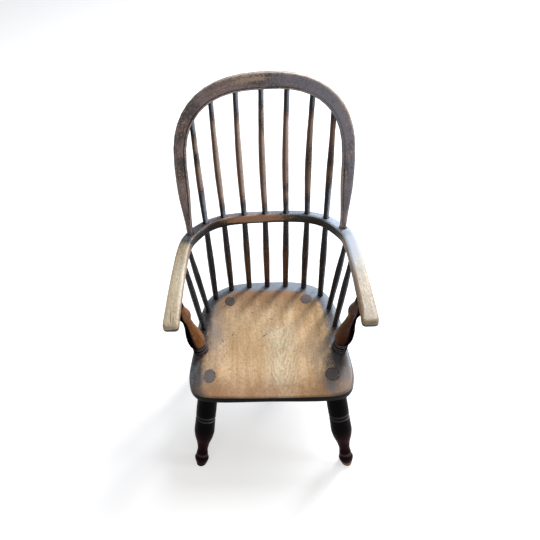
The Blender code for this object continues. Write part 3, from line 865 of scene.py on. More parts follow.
@dataclass
class Seat:
    """The dished elm plank.

    Attributes:
        finish: Its wood.
        around: Points round the rim.
        top_rings: Rings from the middle of the top to where the edge's rounding starts.
        top_power: How the rings crowd towards the middle; 1 for even steps.
        under_shares: Shares of the underside's reach at which it has rings.
        round_mm: The top edge's rounding.
        round_deg: Places round that rounding.
        levels_mm: Heights below the top at which the side is measured.
        ease_deg: How far facets of the measured side are smoothed.
        edge_mm: How far into the rounding the CAD's points still count as the dished top.
        below_mm: How far below the dish's middle they still do.
        fair: How far the fitted top may leave those points; 0 to go through them.
        corner: Where the front right corner is worn, from the middle.
        corner_half: The half-sizes of that place.
        heart: Where across the seat the growth rings show, and the half-width of that band.
        rim_stain: Round the rim from the front by way of the right, in degrees: how far in the dark stain
            reaches and how softly it ends, both in millimetres, and how much of it is left.
    """

    finish: WoodFinish
    around: int = 360
    top_rings: int = 64
    top_power: float = 0.92
    under_shares: tuple[float, ...] = (0.97, 0.9, 0.75, 0.5, 0.25)
    round_mm: float = 6.0
    round_deg: tuple[float, ...] = (15.0, 30.0, 45.0, 60.0, 75.0, 90.0)
    levels_mm: tuple[float, ...] = (12.5, 15.5, 17.6, 18.6, 21.0, 24.0, 27.0, 29.2, 29.9)
    ease_deg: float = 1.6
    edge_mm: float = 0.3
    below_mm: float = 1.5
    fair: float = 2e-6
    corner: tuple[float, float] = (0.152, -0.1441)
    corner_half: tuple[float, float] = (0.030, 0.024)
    heart: tuple[float, float] = (0.024, 0.027)
    rim_stain: tuple[tuple[float, float, float, float], ...] = (
        (0, 0, 8, 0.0), (33, 2, 8, 0.05), (38, 28, 16, 0.6), (42, 44, 20, 0.8), (54, 58, 22, 0.74),
        (74, 44, 22, 0.80), (92, 29, 18, 0.9), (109, 30, 14, 1.0), (129, 31, 9, 1.0), (140, 36, 7, 1.0),
        (153, 32, 5, 1.0), (178, 32, 4, 1.0), (205, 27, 5, 1.0), (220, 27, 9, 1.0), (230, 25, 14, 1.0),
        (252, 31, 20, 1.0), (276, 32, 24, 0.86), (295, 29, 24, 0.84), (306, 30, 20, 0.86), (312, 28, 18, 0.8),
        (318, 17, 12, 0.6), (326, 5, 8, 0.1), (332, 0, 8, 0.0), (360, 0, 8, 0.0))

    def measure(self, cad: Cad) -> None:
        """Reads the side and the dished top off the CAD seat.

        Args:
            cad: The frame.
        """
        low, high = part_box("seat")
        self.top, self.bottom = high.z, low.z
        self.middle = np.array([0.0, (low.y + high.y) / 2])
        surface = cad.surface("seat")
        self.turns = np.linspace(0.0, 2 * math.pi, self.around, endpoint=False)
        self.ways = np.column_stack([np.sin(self.turns), -np.cos(self.turns)])
        far = 2 * (high.y - low.y)
        self.side = []
        for level in self.levels_mm:
            reach = []
            for way in self.ways:
                start = Vector((*(self.middle + way * far), self.top - level * MM))
                hit = surface.ray_cast(start, Vector((-way[0], -way[1], 0.0)))[0]
                reach.append(np.hypot(hit.x - self.middle[0], hit.y - self.middle[1]))
            self.side.append(self._eased(np.array(reach)))
        self.rim = self.side[0]
        points = cad.points("seat")
        centre = surface.ray_cast(Vector((0.0, self.middle[1], self.top + 1.0)), Vector((0.0, 0.0, -1.0)))[0]
        floor = centre.z - self.below_mm * MM
        away = points[:, :2] - self.middle
        turn = np.mod(np.arctan2(away[:, 0], -away[:, 1]), 2 * math.pi)
        deck = np.interp(turn, self.turns, self.rim, period=2 * math.pi) - (self.round_mm - self.edge_mm) * MM
        self.knots = points[(np.hypot(away[:, 0], away[:, 1]) < deck) & (points[:, 2] > floor)]
        self._fit()

    def _eased(self, reach: np.ndarray) -> np.ndarray:
        """Smooths the facets of a measured side.

        Args:
            reach: How far the side is from the middle, at each turn.

        Returns:
            The same, smoothed round the seat.
        """
        step = 360 / self.around
        span = np.arange(-int(3 * self.ease_deg / step), int(3 * self.ease_deg / step) + 1)
        weights = np.exp(-0.5 * (span * step / self.ease_deg) ** 2)
        return sum(w * np.roll(reach, k) for w, k in zip(weights, span)) / weights.sum()

    @staticmethod
    def _bend(gap: np.ndarray) -> np.ndarray:
        """A thin plate's bending, by distance."""
        return gap * gap * np.log(np.maximum(gap, 1e-9))

    def _fit(self) -> None:
        """Lays a thin plate through the CAD's points of the dished top."""
        flat, count = self.knots[:, :2], len(self.knots)
        gaps = np.linalg.norm(flat[:, None] - flat[None], axis=2)
        tail = np.column_stack([np.ones(count), flat])
        whole = np.block([[self._bend(gaps) + self.fair * np.eye(count), tail], [tail.T, np.zeros((3, 3))]])
        self.weights = np.linalg.solve(whole, np.concatenate([self.knots[:, 2], np.zeros(3)]))

    def height(self, flat: np.ndarray) -> np.ndarray:
        """The height of the seat's top.

        Args:
            flat: Rows of x and y.

        Returns:
            The height at each.
        """
        gaps = np.linalg.norm(flat[:, None] - self.knots[None, :, :2], axis=2)
        tail = np.column_stack([np.ones(len(flat)), flat])
        return np.minimum(np.hstack([self._bend(gaps), tail]) @ self.weights, self.top)

    def edge_gap(self, flat: np.ndarray) -> tuple[np.ndarray, np.ndarray]:
        """How far points are from the rim, and at what turn.

        Args:
            flat: Rows of x and y.

        Returns:
            The distance to the rim, and the turn in degrees from the front by way of the right.
        """
        rim = self.middle + self.ways * self.rim[:, None]
        gaps = np.array([np.sqrt(((rim - p) ** 2).sum(1).min()) for p in flat])
        away = flat - self.middle
        return gaps, np.degrees(np.mod(np.arctan2(away[:, 0], -away[:, 1]), 2 * math.pi))

    def _ring(self, reach: np.ndarray, level: float | np.ndarray | None = None) -> np.ndarray:
        """A ring of points round the seat.

        Args:
            reach: How far it is from the middle, at each turn.
            level: Its height, or none for a ring on the seat's top.

        Returns:
            The points.
        """
        flat = self.middle + self.ways * reach[:, None]
        level = self.height(flat) if level is None else np.broadcast_to(level, self.around)
        return np.column_stack([flat, level])

    def build(self) -> None:
        """Lofts the seat from the middle of the top, over the rim, to the middle of the underside."""
        size = self.round_mm * MM
        deck = self.rim - size
        shares = np.linspace(0.0, 1.0, self.top_rings + 1)[1:] ** self.top_power
        rows = [self._ring(deck * share) for share in shares]
        edge = rows[-1][:, 2]
        rise = edge - self._ring(deck - size)[:, 2]
        for turn in np.radians(self.round_deg):
            out = math.sin(turn)
            level = np.minimum(edge + rise * out, self.top) - size * (1 - math.cos(turn))
            rows.append(self._ring(deck + size * out, level))
        rows += [self._ring(reach, self.top - level * MM) for level, reach in zip(self.levels_mm, self.side)]
        rows += [self._ring(self.side[-1] * share, self.bottom) for share in self.under_shares]
        poles = [[*self.middle, self.height(self.middle[None])[0]], [*self.middle, self.bottom]]
        points = np.vstack([poles[0], *rows, poles[1]])
        n, last = self.around, len(points) - 1
        ring = np.arange(n)
        after = (ring + 1) % n
        faces = [(0, 1 + a, 1 + b) for a, b in zip(ring, after)]
        for k in range(len(rows) - 1):
            base = 1 + k * n
            faces += [(base + a, base + n + a, base + n + b, base + b) for a, b in zip(ring, after)]
        faces += [(last, last - n + b, last - n + a) for a, b in zip(ring, after)]
        mesh = bpy.data.meshes.new("seat_plank")
        mesh.from_pydata(points.tolist(), [], faces)
        mesh.polygons.foreach_set("use_smooth", np.ones(len(faces), bool))
        face_outward(mesh)
        self.thing = new_object("seat_plank", mesh)
        mesh.materials.append(self.finish.build(np.array([*self.middle, self.top])))

    def dress(self) -> None:
        """Paints grain, rim stain, painted shade on the sides, soil, wear and painted sheen, and hands the seat
        over.
        """
        mesh = self.thing.data
        points = coordinates(mesh)
        x, y = (points[:, :2] - self.middle).T
        upward = normals(mesh)[:, 2]
        gaps, turn = self.edge_gap(points[:, :2])
        off_front, off_back = np.minimum(turn, 360 - turn), np.abs(turn - 180.0)

        # Stain that is left round the rim, thinner at the worn corner, and black on the side faces, where it
        # also paints the shade on them.
        keys = np.array(self.rim_stain)
        reach, soft, left = (np.interp(turn, keys[:, 0], keys[:, k]) for k in (1, 2, 3))
        reach, soft = reach * MM, soft * MM
        stain = left * (1 - smooth_step(reach - soft, reach + soft, gaps))
        corner = bell(x, self.corner[0], self.corner_half[0]) * bell(y, self.corner[1], self.corner_half[1])
        stain = stain * (1 - 0.38 * corner)
        side = smooth_step(0.55, 0.20, upward)
        paint(mesh, "stain", np.maximum(stain, 1.6 * side))

        # Soil at the back, the front and beside the stain, with a grey film beside it at the sides.
        dust = left * np.exp(-((np.maximum(gaps - reach, 0.0) / (0.012 + 1.2 * soft)) ** 2))
        back = smooth_step(0.0419, 0.1619, y)
        fore = smooth_step(-0.0781, -0.1581, y)
        paint(mesh, "soil", np.clip(0.18 + 1.00 * back + 0.35 * dust + 0.74 * fore + 0.4 * corner, 0, 1.5))
        sides = bell(turn, 262.0, 48.0) + 0.85 * bell(turn, 62.0, 34.0) + 0.5 * bell(turn, 312.0, 14.0)
        paint(mesh, "haze_and_sheen", np.clip(0.80 * dust * sides, 0, 0.9))

        # Dust and old wax on the stain behind the sticks and along the rim, carrying painted sheen: more on the
        # right rim, and only on faces that look up.
        deck = smooth_step(75.0, 20.0, off_back)
        rim = smooth_step(0.020, 0.004, gaps) * smooth_step(42.0, 64.0, off_front)
        dust_and_sheen_share = bell(turn, 262.0, 40.0)
        glossed = 0.78 * deck + np.where(x > 0, 0.46, 0.24) * rim + 0.08 * dust_and_sheen_share
        paint(mesh, "dust_and_sheen", np.clip(glossed, 0, 0.8) * smooth_step(0.5, 0.8, upward))

        # Stain rubbed through on the front edge and on the edge of the dish, and rings in the middle.
        front = smooth_step(75.0, 30.0, off_front)
        ridge = bell(gaps, 0.035, 0.0030) * smooth_step(48.0, 24.0, off_back)
        paint(mesh, "rub", 0.50 * front * bell(upward, 0.62, 0.12) + 0.45 * ridge)
        figure = np.minimum(1.2 * bell(x, *self.heart), 1) * smooth_step(0.0569, 0.0019, y)
        paint(mesh, "figure", figure)
        paint(mesh, "bleach_and_highlight", 0.30 * figure * smooth_step(-0.1881, -0.1281, y))
        paint(mesh, "grain", points[:, [0, 2, 1]])
        hand_over(self.thing, Slot.SEAT, "seat")


@dataclass
class Legs:
    """Four turned legs, raked outward, with their tenons trimmed flush with the seat's top.

    Attributes:
        finish: Their wood.
        sides: Facets round a leg.
        proud: How far a tenon's end stands above the seat, where the seat has worn round it.
        cut: Depth by which the turned rings are told from other hollows.
        ring_span: How far round each ring's cut its lips reach.
        ring_lift: How far up the leg the rings are moved, to where they show.
        tenon: How far below the seat's top a tenon is spread.
        spread: How far the wedged end of each tenon is spread across and to the front.
        ends: How much of its end grain shows through the stain.
        bare_toe: Which leg's toe is worn bare; 1 is the front right one.
        work: How uneven they are.
    """

    finish: WoodFinish
    sides: int = 64
    proud: float = 0.00025
    cut: float = 0.0008
    ring_span: float = 0.0030
    ring_lift: float = 0.0042
    tenon: float = 0.02
    spread: tuple[tuple[float, float], ...] = ((0.98, 1.36), (1.14, 1.28), (0.97, 1.22), (1.12, 1.16))
    ends: tuple[float, ...] = (1.0, 0.80, 0.92, 0.84)
    bare_toe: int = 1
    work: HandWork = HandWork(0.012, 0.05, 0.0)

    def build(self, cad: Cad, lathe: TurningTree, seat: Seat) -> None:
        """Turns the legs, trims them to the floor and the seat, and dresses them.

        Args:
            cad: The frame.
            lathe: The turning tree.
            seat: The seat that they stand under.
        """
        material = self.finish.build()
        nodes = [f"leg_{row}_{side}" for row in ("front", "back") for side in ("left", "right")]
        for number, node in enumerate(nodes):
            line = TurnedLine.of_leg(cad.points(node), cad.mount(node.replace("leg", "foot")), seat.bottom)
            for at in line.cuts(self.cut):
                line.stations[np.abs(line.stations - at) < self.ring_span] += self.ring_lift
            places, radii = line.fine(TurnedLine.STEP)
            middle = line.foot + np.outer(places, line.along)
            leg = lathe.turn(node.replace("leg", "turned_leg"), middle, radii, material, self.sides, self.work,
                             number)
            points = coordinates(leg.data)
            end = self.trim(points, line, seat, np.array(self.spread[number])) * self.ends[number]
            place(leg.data, points)
            self.dress(leg, points, line, number)
            paint(leg.data, "end", end)
            hand_over(leg, Slot.LEGS, node)

    def trim(self, points: np.ndarray, line: TurnedLine, seat: Seat, spread: np.ndarray) -> np.ndarray:
        """Spreads the tenon's end, and slides points past the floor or the seat's top back along the leg.

        Args:
            points: The leg's points, which are changed.
            line: Its axis.
            seat: The seat.
            spread: How far the tenon's end is spread across and to the front.

        Returns:
            1 where the tenon's end shows, less at its edge.
        """
        under = points[:, 2] < 0
        points[under] -= np.outer(points[under, 2] / line.along[2], line.along)
        upper = np.flatnonzero(points[:, 2] > seat.top - self.tenon)
        middle = line.foot + np.outer((points[upper] - line.foot) @ line.along, line.along)
        away = points[upper] - middle
        reach = np.linalg.norm(away, axis=1)
        away[:, :2] *= spread
        points[upper] = middle + away
        over = points[upper, 2] > seat.height(points[upper, :2]) + self.proud
        end = np.zeros(len(points))
        end[upper[over]] = 1 - 0.65 * smooth_step(0.84, 1.0, reach[over] / reach.max())
        upper = upper[over]
        for _ in range(4):
            over = points[upper, 2] - seat.height(points[upper, :2]) - self.proud
            points[upper] -= np.outer(over / line.along[2], line.along)
        return end

    def dress(self, leg: bpy.types.Object, points: np.ndarray, line: TurnedLine, number: int) -> None:
        """Paints black stain, red wood low on the leg, painted highlights on the rings and the foot's shoulder,
        and a worn toe.

        Args:
            leg: The leg.
            points: Its points.
            line: Its axis.
            number: Its place in the set.
        """
        mesh = leg.data
        grain = local_grain(points, line)
        along = grain[:, 2]
        paint(mesh, "grain", grain + np.array([0.0, 0.0, 0.4 * number]))
        toe = smooth_step(0.013, 0.004, points[:, 2])
        low = 0.66 * bell(along, 0.055, 0.034) + 0.45 * bell(along, 0.009, 0.009)
        # Painted highlights: pale lines just below the rings' cuts, brighter on the side that faces right, and
        # a pale band round the foot's shoulder.
        lit = smooth_step(0.1, 0.9, normals(mesh)[:, 0])
        rings = sum(bell(along, at - 0.0006, 0.0013) for at in line.cuts(self.cut))
        foot = bell(along, 0.024, 0.0030)
        pale = (0.30 + 0.35 * lit) * rings + 0.20 * foot
        if number == self.bare_toe:
            stain, rubbed = 1.4 - 1.5 * toe, low * (1 - toe)
        else:
            stain, rubbed, pale = np.full(len(points), 1.4), low + 0.25 * toe, pale + 0.05 * toe
        paint(mesh, "stain", stain)
        paint(mesh, "rub", rubbed + 0.9 * rings + 0.5 * foot)
        paint(mesh, "bleach_and_highlight", np.clip(pale, 0, 1))


@dataclass
class ArmPosts:
    """Two turned posts that carry the arm bow's hands.

    Attributes:
        finish: Their wood.
        sides: Facets round a post.
        cuts: Heights above the seat of the fine cuts above the base's discs.
        cut_deep: Their depth.
        cut_half: Their half-width.
        discs: Heights above the seat of the discs' upper edges between the cuts, painted as wear and
            highlights.
        bare: Heights above the seat between which bare wood comes in, and between which it ends.
        work: How uneven they are.
    """

    finish: WoodFinish
    sides: int = 56
    cuts: tuple[float, ...] = (0.0200, 0.0270)
    cut_deep: float = 0.0015
    cut_half: float = 0.0011
    discs: tuple[float, ...] = (0.0042, 0.0112, 0.0182, 0.0252)
    bare: tuple[float, float, float, float] = (0.028, 0.036, 0.155, 0.187)
    work: HandWork = HandWork(0.015, 0.05, 10.0)

    def build(self, cad: Cad, lathe: TurningTree) -> None:
        """Turns and dresses the posts.

        Args:
            cad: The frame.
            lathe: The turning tree.
        """
        material = self.finish.build()
        for number, side in enumerate(("left", "right")):
            line = TurnedLine.of_node(cad.points(f"arm_post_{side}"))
            places, radii = line.fine(TurnedLine.STEP)
            start = (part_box("seat")[1].z - line.foot[2]) / line.along[2]
            radii = radii - self.cut_deep * sum(bell(places - start, at, self.cut_half) for at in self.cuts)
            post = lathe.turn(f"turned_post_{side}", line.foot + np.outer(places, line.along), radii, material,
                              self.sides, self.work, number)
            self.dress(post, line, start, 1 if side == "right" else -1)
            hand_over(post, Slot.POSTS, f"arm_post_{side}")

    def dress(self, post: bpy.types.Object, line: TurnedLine, start: float, side: int) -> None:
        """Paints stain left on the outer side, partly as painted shade, highlights with wear on the rings and
        the collar, and bare wood rubbed by legs within.

        Args:
            post: The post.
            line: Its axis.
            start: Where the axis leaves the seat.
            side: 1 on the right, -1 on the left.
        """
        mesh = post.data
        points = coordinates(mesh)
        grain = local_grain(points, line)
        along = grain[:, 2] - start
        away = normals(mesh)
        # The stain's edge follows which way each face looks, darker outward, backward and downward, so that it
        # also paints the shade on the post's outer and lower faces.
        inner = smooth_step(-0.30, 0.75, -side * away[:, 0] - 0.25 * away[:, 1] + 0.25 * away[:, 2])
        body = smooth_step(self.bare[0], self.bare[1], along) * smooth_step(self.bare[3], self.bare[2], along)
        paint(mesh, "grain", grain + np.array([0.0, 0.0, 0.7 * side]))
        paint(mesh, "stain", 1.45 - 1.5 * inner * body)
        paint(mesh, "soil", 0.10 + 0.35 * bell(along, 0.115, 0.02) + (1.45 if side > 0 else 0.0))
        # Painted highlights, with wear, on the upper edges of the base's discs, strongest on the inner side.
        rings = sum(bell(along, at, 0.0015) for at in self.discs)
        paint(mesh, "rub", rings * (0.40 + 0.60 * inner))
        paint(mesh, "bleach_and_highlight", 0.28 * rings)


@dataclass
class Sticks:
    """Eleven shaved sticks: seven long ones through the arm bow to the hoop, and two short ones at each side.

    Attributes:
        finish: Their wood.
        sides: Facets round a stick.
        step: Length of a mesh step along it.
        flex_mm: How far each long stick bows sideways above the arm bow, from the left.
        full: How much fuller than the solid a long stick is below the arm bow and near the hoop.
        tight: How far above and below the arm bow's middle a stick keeps close to the size of its bore.
        scrubbed_and_lit: How pale each long stick is where it is rubbed, mostly as painted highlight on the
            right, from the left.
        reddened: How far each long stick is rubbed red below the arm bow, from the left.
        side_reddened: The same for a short stick.
        red: How far below the arm bow's middle the red is strongest, and its half-length.
        rubbed: Shares of the height from the arm bow to the hoop between which each long stick is rubbed, from
            the left.
        blots: Dark places in the rubbed part: which stick, at what share of that height, and how long.
        work: How uneven they are.
    """

    finish: WoodFinish
    sides: int = 28
    step: float = 0.003
    flex_mm: tuple[float, ...] = (-1.0, -1.5, -2.2, -2.6, -2.4, -2.8, 0.5)
    full: tuple[float, float] = (1.10, 1.24)
    tight: float = 0.016
    scrubbed_and_lit: tuple[float, ...] = (0.64, 0.78, 0.88, 0.86, 0.95, 0.62, 0.46)
    reddened: tuple[float, ...] = (0.14, 0.32, 0.54, 0.58, 0.52, 0.36, 0.14)
    side_reddened: float = 0.12
    red: tuple[float, float] = (0.120, 0.075)
    rubbed: tuple[tuple[float, float], ...] = (
        (0.30, 0.85), (0.12, 0.88), (0.10, 0.84), (0.08, 0.88), (0.10, 0.84), (0.14, 0.88), (0.32, 0.92))
    blots: tuple[tuple[int, float, float], ...] = (
        (0, 0.62, 0.05), (3, 0.72, 0.07), (4, 0.24, 0.04), (5, 0.50, 0.08), (6, 0.58, 0.09))
    work: HandWork = HandWork(0.16, 0.030, 20.0)

    def build(self, cad: Cad, lathe: TurningTree) -> None:
        """Turns and dresses the sticks.

        Args:
            cad: The frame.
            lathe: The turning tree.
        """
        material = self.finish.build()
        arm_low, arm_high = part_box("arm_bow")
        arm = (arm_low.z + arm_high.z) / 2
        nodes = [f"back_stick_{i + 1}" for i in range(len(self.flex_mm))]
        nodes += [f"side_stick_{side}_{row}" for side in ("left", "right") for row in ("rear", "front")]
        for number, node in enumerate(nodes):
            line = TurnedLine.of_node(cad.points(node))
            places, radii = line.fine(self.step)
            middle = line.foot + np.outer(places, line.along)
            above = np.clip((middle[:, 2] - arm_high.z) / max(middle[-1, 2] - arm_high.z, MM), 0, 1)
            clear = 1 - bell(middle[:, 2], arm, self.tight)
            if number < len(self.flex_mm):
                middle[:, 0] += self.flex_mm[number] * MM * np.sin(math.pi * above)
                fuller = self.full[0] + (self.full[1] - self.full[0]) * smooth_step(0.0, 0.7, above)
                radii = radii * (1 + (fuller - 1) * clear)
            stick = lathe.turn(node.replace("stick", "shaved_stick"), middle, radii, material, self.sides,
                               self.work, number)
            self.dress(stick, line, arm, number)
            hand_over(stick, Slot.STICKS, node)

    def dress(self, stick: bpy.types.Object, line: TurnedLine, arm: float, number: int) -> None:
        """Paints stain left at the ends and below the arm, brown wood rubbed by backs above it, and painted
        highlight and sheen on the side that faces right.

        Args:
            stick: The stick.
            line: Its axis.
            arm: The height of the arm bow's middle.
            number: Its place in the set.
        """
        mesh = stick.data
        points = coordinates(mesh)
        grain = local_grain(points, line)
        paint(mesh, "grain", grain + np.array([0.0, 0.0, 0.9 * number]))
        paint(mesh, "stain", np.full(len(points), 1.3))
        facing = normals(mesh)
        # Painted light: the side that faces right, less where it faces back, is painted pale where it is rubbed
        # and bluish grey elsewhere, as highlight and sheen.
        lit = smooth_step(-0.30, 0.55, facing[:, 0]) * (1 - 0.6 * smooth_step(0.1, 0.8, facing[:, 1]))
        reddened = self.reddened[number] if number < len(self.reddened) else self.side_reddened
        red = reddened * bell(points[:, 2], arm - self.red[0], self.red[1])
        upper = (points[:, 2] > arm).astype(float)
        lit_sheen = lit * (0.14 + 0.76 * upper)
        if number < len(self.rubbed):
            low, high = self.rubbed[number]
            above = (points[:, 2] - arm) / (points[:, 2].max() - arm)
            back = smooth_step(low - 0.06, low + 0.12, above) * smooth_step(high + 0.06, high - 0.14, above)
            for which, at, long in self.blots:
                if which == number:
                    back = back * (1 - 0.55 * bell(above, at, long))
            paint(mesh, "rub", 0.61 * back + red)
            paint(mesh, "bleach_and_highlight", self.scrubbed_and_lit[number] * back * (0.03 + 0.97 * lit))
            paint(mesh, "dust_and_sheen", lit_sheen * (1 - back))
        else:
            paint(mesh, "rub", red)
            paint(mesh, "dust_and_sheen", lit_sheen)


@dataclass
class Path:
    """The middle line of a bent piece in its own plane, with what is beside each of its points.

    Attributes:
        origin: The point that the line goes round.
        right: The plane's sideways direction.
        up: The plane's other direction, towards the line's middle.
        bins: Places along the line.
    """

    origin: np.ndarray
    right: np.ndarray
    up: np.ndarray
    bins: int = 181

    def follow(self, points: np.ndarray) -> None:
        """Finds the line through a piece's points, and where each point is on it.

        Args:
            points: The piece's points.
        """
        flat = np.column_stack([(points - self.origin) @ self.right, (points - self.origin) @ self.up])
        turn = np.arctan2(flat[:, 0], flat[:, 1])
        edge = np.linspace(turn.min(), turn.max(), self.bins + 1)
        self.bin = np.clip(np.searchsorted(edge, turn) - 1, 0, self.bins - 1)
        count = np.maximum(np.bincount(self.bin, minlength=self.bins), 1)
        line = np.column_stack([np.bincount(self.bin, flat[:, k], self.bins) / count for k in (0, 1)])
        for _ in range(3):
            line[1:-1] = (line[:-2] + 2 * line[1:-1] + line[2:]) / 4
        run = np.concatenate([[0], np.cumsum(np.linalg.norm(np.diff(line, axis=0), axis=1))])
        way = np.gradient(line, axis=0)
        way /= np.linalg.norm(way, axis=1)[:, None]
        out = np.column_stack([-way[:, 1], way[:, 0]])
        step = flat - line[self.bin]
        middle = np.interp(0.0, line[:, 0], run)
        self.along = run[self.bin] + (step * way[self.bin]).sum(1) - middle
        self.across = (step * out[self.bin]).sum(1)
        self.length = run[-1] / 2
        low, high = np.full(self.bins, 1.0), np.full(self.bins, -1.0)
        np.minimum.at(low, self.bin, self.across)
        np.maximum.at(high, self.bin, self.across)
        self.from_inner = self.across - low[self.bin]
        self.from_outer = high[self.bin] - self.across


def fine_copy(cad: Cad, node: str, name: str, voxel: float, passes: int) -> bpy.types.Object:
    """A fine, softened copy of a CAD node, as a drawknife and sandpaper leave it.

    Args:
        cad: The frame.
        node: The node.
        name: The copy's name.
        voxel: Size of its faces.
        passes: How often it is smoothed.

    Returns:
        The copy, as a plain mesh.
    """
    mesh = cad.nodes[node].data.copy()
    mesh.materials.clear()
    work = bmesh.new()
    work.from_mesh(mesh)
    bmesh.ops.remove_doubles(work, verts=work.verts, dist=SAME_POINT)
    work.to_mesh(mesh)
    work.free()
    thing = new_object(name, mesh)
    remesh = thing.modifiers.new("remesh", "REMESH")
    remesh.mode = "VOXEL"
    remesh.voxel_size = voxel
    remesh.use_smooth_shade = True
    soften = thing.modifiers.new("soften", "SMOOTH")
    soften.iterations = passes
    settle(thing)
    return thing


@dataclass
class ArmBow:
    """The bent arm bow: one ash stick from hand to hand, bare at the hands and stained behind.

    Attributes:
        finish: Its wood.
        voxel: Size of its mesh faces.
        passes: Smoothing passes.
        bare_from: Share of the half-length from which the left and the right arm are bare.
        bend: How far in front of the middle of its box the point is that it bends round.
    """

    finish: WoodFinish
    voxel: float = 0.0012
    passes: int = 12
    bare_from: tuple[float, float] = (0.47, 0.44)
    bend: float = 0.02

    def build(self, cad: Cad) -> None:
        """Builds, dresses and hands over the bow.

        Args:
            cad: The frame.
        """
        bow = fine_copy(cad, "arm_bow", "bent_arm_bow", self.voxel, self.passes)
        low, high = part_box("arm_bow")
        anchor = np.array([(low.x + high.x) / 2, (low.y + high.y) / 2, high.z])
        bow.data.materials.append(self.finish.build(anchor))
        self.dress(bow)
        hand_over(bow, Slot.ARM_BOW, "arm_bow")

    def dress(self, bow: bpy.types.Object) -> None:
        """Paints the grain along the bend, the stain behind, the worn edges, and painted shade, sheen and
        highlights.

        Args:
            bow: The bow.
        """
        mesh = bow.data
        points = coordinates(mesh)
        low, high = points.min(0), points.max(0)
        centre = np.array([0.0, (low[1] + high[1]) / 2 - self.bend, 0.0])
        path = Path(centre, np.array([1.0, 0.0, 0.0]), np.array([0.0, 1.0, 0.0]))
        path.follow(points)
        paint(mesh, "grain", np.column_stack([path.across, points[:, 2], path.along]))

        # Where each point is: on which arm, how far along and up, and on which face.
        share = np.abs(path.along) / path.length
        left = (path.along < 0).astype(float)
        level = (points[:, 2] - low[2]) / (high[2] - low[2])
        facing = normals(mesh)
        top = smooth_step(0.35, 0.75, facing[:, 2])
        bare = np.where(left > 0, self.bare_from[0], self.bare_from[1])
        arm = smooth_step(bare - 0.07, bare + 0.07, share)
        under = smooth_step(-0.25, -0.60, facing[:, 2])
        lows = np.full(path.bins, high[2])
        np.minimum.at(lows, path.bin, points[:, 2])
        rise = points[:, 2] - lows[path.bin]
        hand = smooth_step(0.93, 0.96, share) * smooth_step(0.0115, 0.0085, rise) * (1 - top)
        inside = smooth_step(0.006, 0.0, path.from_inner) * (1 - top)
        outside = smooth_step(0.006, 0.0, path.from_outer) * (1 - top)

        # Stain behind, low on the outer side, and underneath, where it also paints the shade; black on the
        # lower part of the hands' ends as painted shade; a painted bluish sheen on the right arm's top; and
        # dust on the stain behind with painted sheen that grows towards the right.
        grimed = 0.40 * (1 - left) * smooth_step(0.50, 0.75, share)
        sheen = top * (1 - left) * smooth_step(bare + 0.42, bare + 0.02, share)
        stain = np.maximum.reduce([1.15 * (1 - arm), grimed, 1.5 * under, 0.95 * hand])
        paint(mesh, "haze_and_sheen", 0.88 * sheen)
        cold = smooth_step(bare - 0.26, bare - 0.02, share) * (1 - left)
        paint(mesh, "dust_and_sheen", top * (1 - arm) * (0.42 + 0.26 * path.along / path.length + 0.35 * cold))
        paint(mesh, "stain", np.maximum(stain, 0.55 * outside * smooth_step(0.6, 0.2, level)))

        # Soil inside the arms and towards the hands, and wood scrubbed pale along their inner edges, which on
        # the left arm is also a painted highlight.
        ramp = smooth_step(bare + 0.30, bare, share)
        band = smooth_step(0.0075, 0.0055, path.from_inner) * (1 - left) * arm
        golden = smooth_step(0.66, 0.95, share)
        handled = 0.95 * inside * (1 - 0.5 * left) + 0.9 * band + 0.45 * ramp * left + 0.36 * golden
        paint(mesh, "soil", 0.19 + handled)
        edge = bell(path.from_inner, 0.002, 0.0040) * smooth_step(0.15, 0.55, facing[:, 2])
        cream = edge * left * smooth_step(0.40, 0.52, share) * smooth_step(1.0, 0.8, share)
        arris = bell(path.from_inner, 0.0082, 0.0012) * (1 - left) * arm * top
        paint(mesh, "bleach_and_highlight", np.clip(0.9 * cream + 0.7 * arris + 0.22 * left * arm, 0, 1))

        # Stain rubbed through on the inner face behind, and along the left side's inner edge.
        line = bell(path.from_inner, 0.0025, 0.0026) * top * smooth_step(0.10, 0.18, share) * (1 - arm) * left
        inner_face = smooth_step(0.008, 0.002, path.from_inner) * smooth_step(0.16, 0.48, level)
        worn = inner_face * bell(path.along, -0.02, 0.065)
        paint(mesh, "rub", 0.96 * worn + 0.50 * line + 0.25 * cream)


